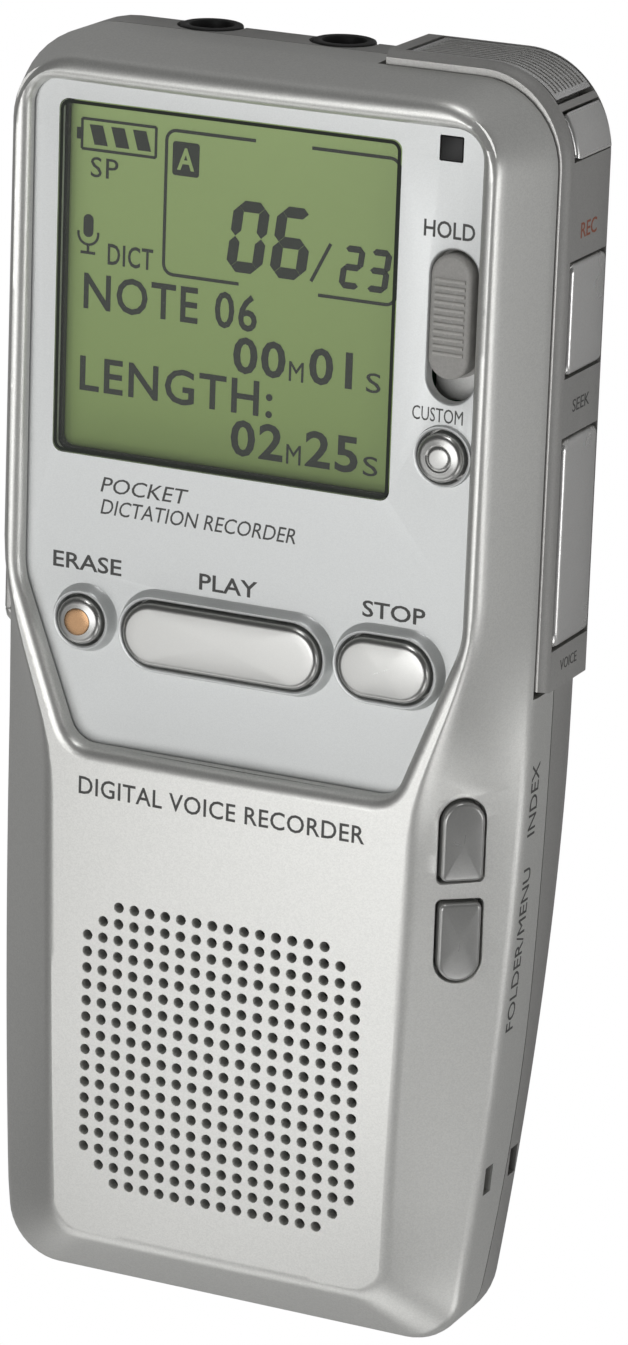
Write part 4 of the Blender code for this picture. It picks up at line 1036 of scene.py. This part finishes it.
def makeGrille():
    # a curved plate with slots cut across it, each between two ribs
    outer = arcBand(-0.3, side["out"], sideKeys["grilleAngle"], 90, None, sideKeys["grilleEnd"], steps=30)
    plate = slab("microphoneGrille", bulged(outer), side["keyLow"], side["keyHigh"])
    count = int((side["keyHigh"] - side["keyLow"] - 0.8) / sideKeys["ribPitch"])
    start = (side["keyLow"] + side["keyHigh"]) / 2 - (count - 1) / 2 * sideKeys["ribPitch"]
    tools = []
    band = arcBand(0.18, 3.0, sideKeys["grilleAngle"] + 4, 90, None, sideKeys["grilleEnd"] + 0.7, steps=30)
    width = sideKeys["ribPitch"] - sideKeys["ribWidth"]
    for k in range(count):
        z = start + k * sideKeys["ribPitch"]
        tools.append(slab("tool", bulged(band), z - width / 2, z + width / 2))
    carve(plate, tools)
    smoothShade(plate, 30)
    settle(plate, "sideKeySilver", "case", ["microphone_grille"])


makeBevelKeys()
makeBezel()
makeSideKeys()
makeGrille()
print("side pieces done")


printing = {"thickness": 0.02, "sink": 0.004, "captionHeight": 1.62}
legends = [
    # word, middle x, middle y, width, height, boldness
    ("HOLD", 17.75, 99.35, 4.6, 1.45, 0.012), ("CUSTOM", 17.35, 83.65, 4.6, 1.2, 0.0),
    ("ERASE", -14.9, 66.05, 6.6, 1.45, 0.012), ("PLAY", -1.4, 66.05, 5.5, 1.45, 0.012),
    ("STOP", 14.1, 66.05, 5.8, 1.45, 0.012),
]


def makeText(word, height, width, bold=0.0, spacing=1.0, shear=0.0):
    # a word as a flat mesh, its middle at the origin, its height and width in millimetres
    data = bpy.data.curves.new("word", "FONT")
    data.body = word
    data.size = 1.0
    data.offset = bold
    data.shear = shear
    data.space_character = spacing
    data.extrude = 0.5
    data.resolution_u = 3
    temporary = bpy.data.objects.new("word", data)
    bpy.context.scene.collection.objects.link(temporary)
    graph = bpy.context.evaluated_depsgraph_get()
    mesh = bpy.data.meshes.new_from_object(temporary.evaluated_get(graph))
    bpy.data.objects.remove(temporary, do_unlink=True)
    bm = bmesh.new()
    bm.from_mesh(mesh)
    bmesh.ops.remove_doubles(bm, verts=bm.verts, dist=1e-5)
    bm.to_mesh(mesh)
    bm.free()
    points = np.array([v.co for v in mesh.vertices], float)
    low, high = points.min(0), points.max(0)
    points -= (low + high) / 2
    size = high - low
    points *= [width / size[0], height / size[1], printing["thickness"]]
    faces = [list(p.vertices) for p in mesh.polygons]
    return points, faces


def joinShapes(name, shapes):
    # several (points, faces) lists as one mesh, in design millimetres
    allPoints, allFaces, start = [], [], 0
    for points, faces in shapes:
        allPoints.append(points)
        allFaces += [[i + start for i in face] for face in faces]
        start += len(points)
    return meshObject(name, np.concatenate(allPoints), allFaces, smooth=False)


def flatShape(outline, z):
    # a thin plate from one outline
    n = len(outline)
    half = printing["thickness"] / 2
    points = np.concatenate([ringAt(outline, z - half), ringAt(outline, z + half)])
    faces = gridFaces(2, n).tolist() + [list(range(n))[::-1], list(range(n, 2 * n))]
    return points, faces


def stroke(points, width, z):
    # an open line of constant width as a thin plate
    points = np.asarray(points, float)
    ahead = np.gradient(points, axis=0)
    ahead /= np.linalg.norm(ahead, axis=1, keepdims=True)
    side = np.stack([ahead[:, 1], -ahead[:, 0]], -1) * width / 2
    return flatShape(np.concatenate([points + side, (points - side)[::-1]]), z)


def makeLegends():
    z = printing["thickness"] / 2 - printing["sink"]
    shapes = []
    for word, x, y, width, height, bold in legends:
        points, faces = makeText(word, height, width, bold)
        shapes.append((points + [x, y, z], faces))
    for word, x, y, width in (("POCKET", -9.6, 73.25, 8.4), ("DICTATION RECORDER", -4.5, 71.3, 18.5)):
        points, faces = makeText(word, 1.35, width, 0.0, 1.0, 0.22)
        shapes.append((points + [x, y, z], faces))
    settle(joinShapes("panelLegends", shapes), "ink", "case")
    points, faces = makeText("DIGITAL VOICE RECORDER", printing["captionHeight"], 27.3, 0.008, 1.05)
    points += [-0.5, 46.75, 0]
    points[:, 2] += crownAt(points[:, 0], points[:, 1]) + z
    settle(joinShapes("coverCaption", [(points, faces)]), "ink", "case")


display = {"ink": -1.875, "slant": 0.12, "border": 0.3}
counters = [
    # digits, left x, low y, pitch, height, width, bar width, gap between bars
    ("06", -3.5, 92.9, 4.05, 6.2, 3.35, 0.95, 0.02), ("23", 7.0, 92.8, 2.45, 3.7, 2.0, 0.55, -0.06),
]
displayWords = [
    # word, left x, low y, height, width, boldness
    ("SP", -16.4, 99.4, 1.75, 2.6, 0.0), ("DICT", -14.6, 92.0, 1.85, 4.3, 0.012),
    ("NOTE 06", -16.8, 87.9, 3.2, 16.4, 0.012), ("00", -2.5, 84.2, 3.2, 4.9, 0.02),
    ("M", 2.75, 84.2, 1.7, 1.35, 0.0), ("01", 4.6, 84.2, 3.2, 4.0, 0.02), ("S", 9.9, 84.2, 1.7, 1.35, 0.0),
    ("LENGTH:", -17.0, 80.7, 3.1, 18.3, 0.012), ("02", -2.5, 77.0, 3.2, 4.9, 0.02),
    ("M", 2.75, 77.0, 1.7, 1.35, 0.0), ("25", 4.5, 77.0, 3.2, 4.9, 0.02), ("S", 9.9, 77.0, 1.7, 1.35, 0.0),
]
segmentsOf = {"0": "abcdef", "2": "abged", "3": "abgcd", "6": "afgedc"}


def digitShapes(digit, x, y, height, width, thick, gap):
    # seven slanted bars; x, y is the lower left corner
    half, mid = thick / 2, height / 2
    left, right, low, high = half, width - half, half, height - half
    bars = {
        "a": ((left, high), (right, high)), "b": ((right, high), (right, mid)),
        "c": ((right, mid), (right, low)), "d": ((left, low), (right, low)),
        "e": ((left, mid), (left, low)), "f": ((left, high), (left, mid)), "g": ((left, mid), (right, mid)),
    }
    shapes = []
    for key in segmentsOf[digit]:
        a, b = np.array(bars[key][0]), np.array(bars[key][1])
        along = (b - a) / np.linalg.norm(b - a)
        across = np.array([along[1], -along[0]])
        a, b = a + along * gap, b - along * gap
        outline = np.array([a, a + (along + across) * half, b + (across - along) * half, b,
                            b - (along + across) * half, a + (along - across) * half])
        if np.cross(outline[1] - outline[0], outline[2] - outline[1]) < 0:
            outline = outline[::-1]
        outline[:, 0] += outline[:, 1] * display["slant"]
        shapes.append(flatShape(outline + [x, y], display["ink"]))
    return shapes


def counterShapes():
    # the two large figures, a slash and the two small figures
    shapes = []
    for digits, x, y, pitch, height, width, thick, gap in counters:
        for k, digit in enumerate(digits):
            shapes += digitShapes(digit, x + k * pitch, y, height, width, thick, gap)
    shapes.append(stroke([(4.5, 93.0), (6.2, 96.4)], 0.3, display["ink"]))
    return shapes


counterFrame = {"left": -9.3, "right": 12.3, "low": 91.9, "high": 104.3, "radius": 0.9, "line": 0.28,
                "topGap": (-1.0, 4.2), "lowGap": (-2.2, 5.2)}


def frameShapes():
    # thin rounded frame with a gap at the top and one at the bottom, as a left and a right line
    y0, y1, r = counterFrame["low"], counterFrame["high"], counterFrame["radius"]
    t = np.linspace(0, math.pi / 2, 6)
    shapes = []
    for edge, way, k in ((counterFrame["left"], 1, 0), (counterFrame["right"], -1, 1)):
        upper = np.stack([edge + way * r * (1 - np.sin(t)), y1 - r * (1 - np.cos(t))], -1)
        lower = np.stack([edge + way * r * (1 - np.cos(t)), y0 + r * (1 - np.sin(t))], -1)
        first, last = (counterFrame["topGap"][k], y1), (counterFrame["lowGap"][k], y0)
        line = np.concatenate([[first], upper, lower, [last]])
        shapes.append(stroke(line, counterFrame["line"], display["ink"]))
    return shapes


batterySign = {"x": -17.3, "y": 101.75, "length": 7.0, "height": 2.6, "line": 0.24, "cells": 3, "pitch": 2.05}


def batteryShapes():
    # battery: outline, knob and three slanted cells
    z = display["ink"]
    x, y, length, height = batterySign["x"], batterySign["y"], batterySign["length"], batterySign["height"]
    corners = [(x, y), (x + length, y), (x + length, y + height), (x, y + height), (x, y)]
    shapes = [stroke([a, b], batterySign["line"], z) for a, b in zip(corners[:-1], corners[1:])]
    shapes.append(stroke([(x - 0.3, y + 0.8), (x - 0.3, y + height - 0.8)], 0.4, z))
    low, high = y + 0.45, y + height - 0.45
    for k in range(batterySign["cells"]):
        at = x + 0.7 + k * batterySign["pitch"]
        cell = np.array([(at + 0.5, low), (at + 1.75, low), (at + 1.25, high), (at, high)])
        shapes.append(flatShape(cell, z))
    return shapes


microphoneSign = {"x": -16.5, "y": 94.6}


def microphoneShapes():
    # microphone: capsule, cradle, stem and foot
    x, y, z = microphoneSign["x"], microphoneSign["y"], display["ink"]
    turn = np.linspace(-0.2, math.pi + 0.2, 14)
    cradle = np.stack([x - 0.95 * np.cos(turn), y - 0.15 - 0.95 * np.sin(turn)], -1)
    return [flatShape(resample(pill(0.95, 2.0), 28) + [x, y + 0.55], z), stroke(cradle, 0.22, z),
            stroke([(x, y - 1.1), (x, y - 1.75)], 0.24, z),
            stroke([(x - 0.7, y - 1.8), (x + 0.7, y - 1.8)], 0.24, z)]


def makeDisplayInk():
    z = display["ink"]
    shapes = counterShapes() + frameShapes() + batteryShapes() + microphoneShapes()
    for word, x, y, height, width, bold in displayWords:
        points, faces = makeText(word, height, width, bold, 1.1)
        shapes.append((points + [x + width / 2, y + height / 2, z], faces))
    settle(joinShapes("displayInk", shapes), "displayInk", "case")
    # folder tag: dark tile with a light letter over it
    tile = boxOutline(-8.7, 100.5, -6.2, 103.4, 0.25, 3)
    settle(joinShapes("folderTile", [flatShape(tile, z)]), "displayInk", "case")
    points, faces = makeText("A", 1.9, 1.6, 0.02)
    settle(joinShapes("folderLetter", [(points + [-7.45, 101.95, z + 0.015], faces)]), "displayGreen", "case")


def makeWindowBorder():
    # a thin dark line round the edge of the window, on its top face
    (x0, y0, _), (x1, y1, z1) = designBox("display_window")
    outer = boxOutline(x0 + 0.02, y0 + 0.02, x1 - 0.02, y1 - 0.02, 0.88, 6)
    inner = grown(outer, -display["border"])
    low, high = z1 - 0.002, z1 + 0.016
    rings = np.stack([ringAt(outer, low), ringAt(outer, high), ringAt(inner, high), ringAt(inner, low)])
    n = len(outer)
    line = meshObject("windowBorder", rings.reshape(-1, 3), gridFaces(5, n) % (4 * n), smooth=False)
    settle(line, "displayInk", "case")


def wordOnWall(word, x, y, z, height, length, along="up", bold=0.0):
    # small words on a wall that faces +x: read up the wall, or across it
    points, faces = makeText(word, height, length, bold)
    u, v, w = points[:, 0], points[:, 1], points[:, 2]
    if along == "up":
        placed = np.stack([x + w, y + u, z + v], -1)
    else:
        placed = np.stack([x + w, y + v, z - u], -1)
    return placed, faces


def makeSideWords():
    lift = printing["thickness"] / 2 - printing["sink"]
    out = halfWidth + side["out"] + lift
    shapes = [wordOnWall("SEEK", out, 83.6, -11.0, 1.1, 3.6, "across"),
              wordOnWall("VOICE", out, 60.9, -11.0, 0.95, 3.6, "across")]
    settle(joinShapes("bezelWords", shapes), "ink", "case")
    shapes = []
    for word, y, length in (("INDEX", 49.6, 6.4), ("FOLDER/MENU", 36.2, 14.6)):
        # along the side wall, following its curve, just below the bevel
        points, faces = wordOnWall(word, lift, y, -1.5, 1.5, length)
        points[:, 0] += bodyWidth(points[:, 1])
        points[:, 2] -= bevelDepth(points[:, 1])
        shapes.append((points, faces))
    settle(joinShapes("sideWords", shapes), "ink", "case")
    word = wordOnWall("REC", out, 98.6, -10.9, 1.35, 3.4, "across", 0.01)
    settle(joinShapes("recordWord", [word]), "redInk", "case")


makeLegends()
makeDisplayInk()
makeWindowBorder()
makeSideWords()
print("printing done")


rear = {"doorRibs": 6, "doorRibPitch": 1.6, "doorRibWidth": 11.0, "bayTop": -14.0, "strapZ": -9.6}


def makeRearCover():
    rings, centre = rearSurface()
    shell = makeShell("rearCover", rings, centre, False)
    gap = side["gap"]
    (x0, y0, _), (x1, y1, _) = designBox("battery_door")
    bay0, bay1 = designBox("battery_bay")
    opening = boxOutline(min(x0, bay0[0]) - gap, min(y0, bay0[1]) - gap, max(x1, bay1[0]) + gap,
                         max(y1, bay1[1]) + gap, 0.4)
    tools = [slab("tool", opening, -20, rear["bayTop"]), bezelPocket(), cardPocket(),
             strapTool(rear["strapZ"], strap["height"])]
    for node in ("microphone_jack", "earphone_jack"):
        x, _, z = middleOf(node)
        tools.append(turned("tool", [(3.0, -4), (3.0, 4)], (x, bodyTop, z), "Y"))
    a, b = designBox("dock_connector")
    tools.append(boxTool((a[0] - 0.4, -2, a[2] - 0.3), (b[0] + 0.4, 3, b[2] + 0.3)))
    carve(shell, tools)
    for node in ("case_screw_1", "case_screw_2", "case_screw_3"):
        x, y, _ = middleOf(node)
        z = -float(backAt(y))
        seat = turned("tool", [(2.6, 0.4), (2.6, 3.2), (1.0, 3.2)], (x, y, z), steps=40)
        carve(shell, [seat], "UNION")
        carve(shell, [turned("tool", [(2.2, -1.0), (2.2, 1.1), (0.9, 1.1), (0.9, 4.0)], (x, y, z), steps=40)])
    smoothShade(shell, 32)
    settle(shell, "rearSilver", "case", ["rear_cover"])


def makeJack(node):
    x, _, z = middleOf(node)
    deep = designBox(node)[0][1] - bodyTop
    profile = [(2.4, deep), (2.4, -1.6), (2.75, -1.6), (2.75, -0.05), (2.68, 0.08), (2.5, 0.15), (2.15, 0.15),
               (1.95, 0.08), (1.85, -0.15), (1.8, -0.8), (1.8, deep + 1.0)]
    rings = turned(node + "Socket", profile, (x, bodyTop, z), "Y", 48)
    return settle(rings, "mattBlack", "case", [node])


def makeScrew(node):
    # pan head with a cross recess, pointing out of the back
    x, y, _ = middleOf(node)
    z = designBox(node)[0][2]
    head = [(0.7, 7.2), (0.7, 0.56), (1.75, 0.56), (1.9, 0.42), (1.9, 0.14), (1.6, 0.0)]
    screw = turned(node + "Head", head[::-1], (x, y, z), steps=36)
    arms = [boxTool((x - 1.05, y - 0.2, z - 0.5), (x + 1.05, y + 0.2, z + 0.4)),
            boxTool((x - 0.2, y - 1.05, z - 0.5), (x + 0.2, y + 1.05, z + 0.4))]
    carve(screw, arms)
    smoothShade(screw, 35)
    settle(screw, "nickelSteel", "case", [node])


def makeDoors():
    door = softCopy("battery_door", 0.18, 3, "batteryDoor")
    (x0, _, z0), (x1, y1, _) = designBox("battery_door")
    middle = (x0 + x1) / 2
    tools = []
    # a patch of thumb grooves near the end that opens
    for k in range(rear["doorRibs"]):
        y = y1 - 6.0 - k * rear["doorRibPitch"]
        half = rear["doorRibWidth"] / 2
        groove = boxOutline(middle - half, y - 0.35, middle + half, y + 0.35, 0.34, 5)
        levels = ((0.15, z0 - 0.5), (0.12, z0), (-0.12, z0 + 0.3))
        tools.append(loft("tool", [ringAt(grown(groove, out), z) for out, z in levels]))
    carve(door, tools)
    smoothShade(door, 35)
    settle(door, "rearSilver", "battery_door", ["battery_door"])
    card = softCopy("card_door", 0.14, 3, "cardDoor")
    settle(card, "rearSilver", "card_door", ["card_door"])


makeRearCover()
print("rear cover made")
for node in ("microphone_jack", "earphone_jack"):
    makeJack(node)
for node in ("case_screw_1", "case_screw_2", "case_screw_3"):
    makeScrew(node)
print("jacks and screws made")
makeDoors()
print("doors made")
for node, finish, width in (("indicator_window", "smokedAcrylic", 0.08),
                            ("dock_connector", "mattBlack", 0.12), ("hold_switch", "holdFloorPaintedLight", 0.1)):
    settle(softCopy(node, width, 2), finish, "case", [node])
print("rear pieces done")


# the CAD pieces that no detailed piece stands for keep their shape and take a finish
plainFinish = {
    "rearSilver": ["rear_cover", "side_bezel", "battery_door", "card_door"],
    "panelSilver": ["control_panel"],
    "capChrome": ["play_button", "stop_button", "erase_button", "custom_button"],
    "sideKeySilver": ["record_button", "new_button", "seek_rocker", "microphone_grille"],
    "greyRubberised": ["hold_slider"],
    "bevelKeyGrey": ["index_button", "menu_button"],
    "clearAcrylic": ["display_window"],
    "displayGreen": ["display_glass"],
    "smokedAcrylic": ["indicator_window"],
    "lightGuide": ["backlight_plate"],
    "redLamp": ["indicator_lamp"],
    "solderGreen": ["main_board", "side_key_board", "bevel_key_board"],
    "softRubber": ["microphone_boot"],
    "conePaper": ["speaker_cone"],
    "cellJacket": ["battery_1", "battery_2"],
    "nickelSteel": ["rocker_pivot", "microphone_capsule", "speaker_magnet", "battery_contact_positive",
                    "battery_bridge", "contact_spring_1", "contact_spring_2", "battery_door_pin",
                    "card_door_pin", "card_socket", "case_screw_1", "case_screw_2", "case_screw_3"],
}
dressed = {node: finish for finish, nodes in plainFinish.items() for node in nodes}
for node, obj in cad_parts.items():
    dress(obj, dressed.get(node, "mattBlack"))
print("CAD pieces dressed")


view = {
    "position": (0.20207, 0.14459, 0.4418), "right": (0.90397, 0.03389, -0.42624),
    "up": (-0.1526, 0.95678, -0.24756), "back": (0.39943, 0.28883, 0.87008), "lens": 154.1,
    "floorSize": 8.0, "floorHeight": -0.0002, "floorColor": (0.45, 0.45, 0.45), "floorSeen": 1.0,
    "worldColor": (1.0, 1.0, 1.0), "worldStrength": 0.05, "lampDistance": 0.8,
}


def makeFloor():
    half, height = view["floorSize"] / 2, view["floorHeight"]
    mesh = bpy.data.meshes.new("floor")
    corners = [(-half, -half, height), (half, -half, height), (half, half, height), (-half, half, height)]
    mesh.from_pydata(corners, [], [(0, 1, 2, 3)])
    floor = bpy.data.objects.new("floor", mesh)
    bpy.context.scene.collection.objects.link(floor)
    found = bpy.data.materials.new("floorPaper")
    found.use_nodes = True
    tree = found.node_tree
    shader = tree.nodes["Principled BSDF"]
    shader.inputs["Base Color"].default_value = (*view["floorColor"], 1)
    shader.inputs["Roughness"].default_value = 0.8
    glow = addNode(tree, "ShaderNodeEmission", Color=(1, 1, 1, 1), Strength=view["floorSeen"])
    clear = addNode(tree, "ShaderNodeBsdfTransparent")
    side = addNode(tree, "ShaderNodeNewGeometry").outputs["Backfacing"]
    # the paper is seen as plain white, and throws back less light on the case
    path = addNode(tree, "ShaderNodeLightPath").outputs
    lit = addNode(tree, "ShaderNodeMixShader", [(0, path["Is Camera Ray"]), (1, shader.outputs[0]),
                                                (2, glow.outputs[0])])
    # it is clear from below, and lets the lamp under it reach the back of the case
    seenThrough = mathNode(tree, "MAXIMUM", side, path["Is Shadow Ray"])
    mix = addNode(tree, "ShaderNodeMixShader", [(0, seenThrough), (1, lit.outputs[0]), (2, clear.outputs[0])])
    tree.links.new(mix.outputs[0], tree.nodes["Material Output"].inputs["Surface"])
    floor.data.materials.append(found)


lamps = {
    # name: direction from the recorder, size, watts
    "zenith": ((0.0, 0.0, 1.0), 0.5, 1.8), "key": ((-0.4, -0.29, 0.87), 0.5, 0.8),
    "front": ((0.0, -1.0, 0.5), 0.4, 0.5), "leftFront": ((-0.5, -0.85, 0.4), 0.4, 0.45),
    "rightFront": ((0.7, -0.7, 0.5), 0.4, 0.7), "rightLow": ((1.0, -0.1, 0.15), 0.3, 0.85),
    "rear": ((0.15, 1.0, 0.22), 0.3, 0.9), "under": ((0.0, 0.05, -1.0), 0.5, 1.6),
}


def makeLamps():
    for name, (direction, size, power) in lamps.items():
        place = Vector(direction).normalized() * view["lampDistance"]
        data = bpy.data.lights.new(name, "AREA")
        data.shape = "DISK"
        data.size = size
        data.energy = power
        lamp = bpy.data.objects.new(name, data)
        lamp.location = place
        lamp.rotation_euler = (-place).to_track_quat("-Z", "Y").to_euler()
        bpy.context.scene.collection.objects.link(lamp)
    world = bpy.data.worlds.new("studio")
    world.use_nodes = True
    shade = world.node_tree.nodes["Background"]
    shade.inputs["Color"].default_value = (*view["worldColor"], 1)
    shade.inputs["Strength"].default_value = view["worldStrength"]
    bpy.context.scene.world = world


def makeCamera():
    data = bpy.data.cameras.new("camera")
    data.lens = view["lens"]
    data.sensor_fit = "VERTICAL"
    data.sensor_height = 36
    data.clip_start = 0.01
    data.clip_end = 20
    camera = bpy.data.objects.new("camera", data)
    axes = Matrix([view["right"], view["up"], view["back"]]).transposed().to_4x4()
    camera.matrix_world = Matrix.Translation(view["position"]) @ axes
    bpy.context.scene.collection.objects.link(camera)
    bpy.context.scene.camera = camera
    bpy.context.scene.view_settings.view_transform = "Standard"


makeFloor()
makeLamps()
makeCamera()
print("stage set")
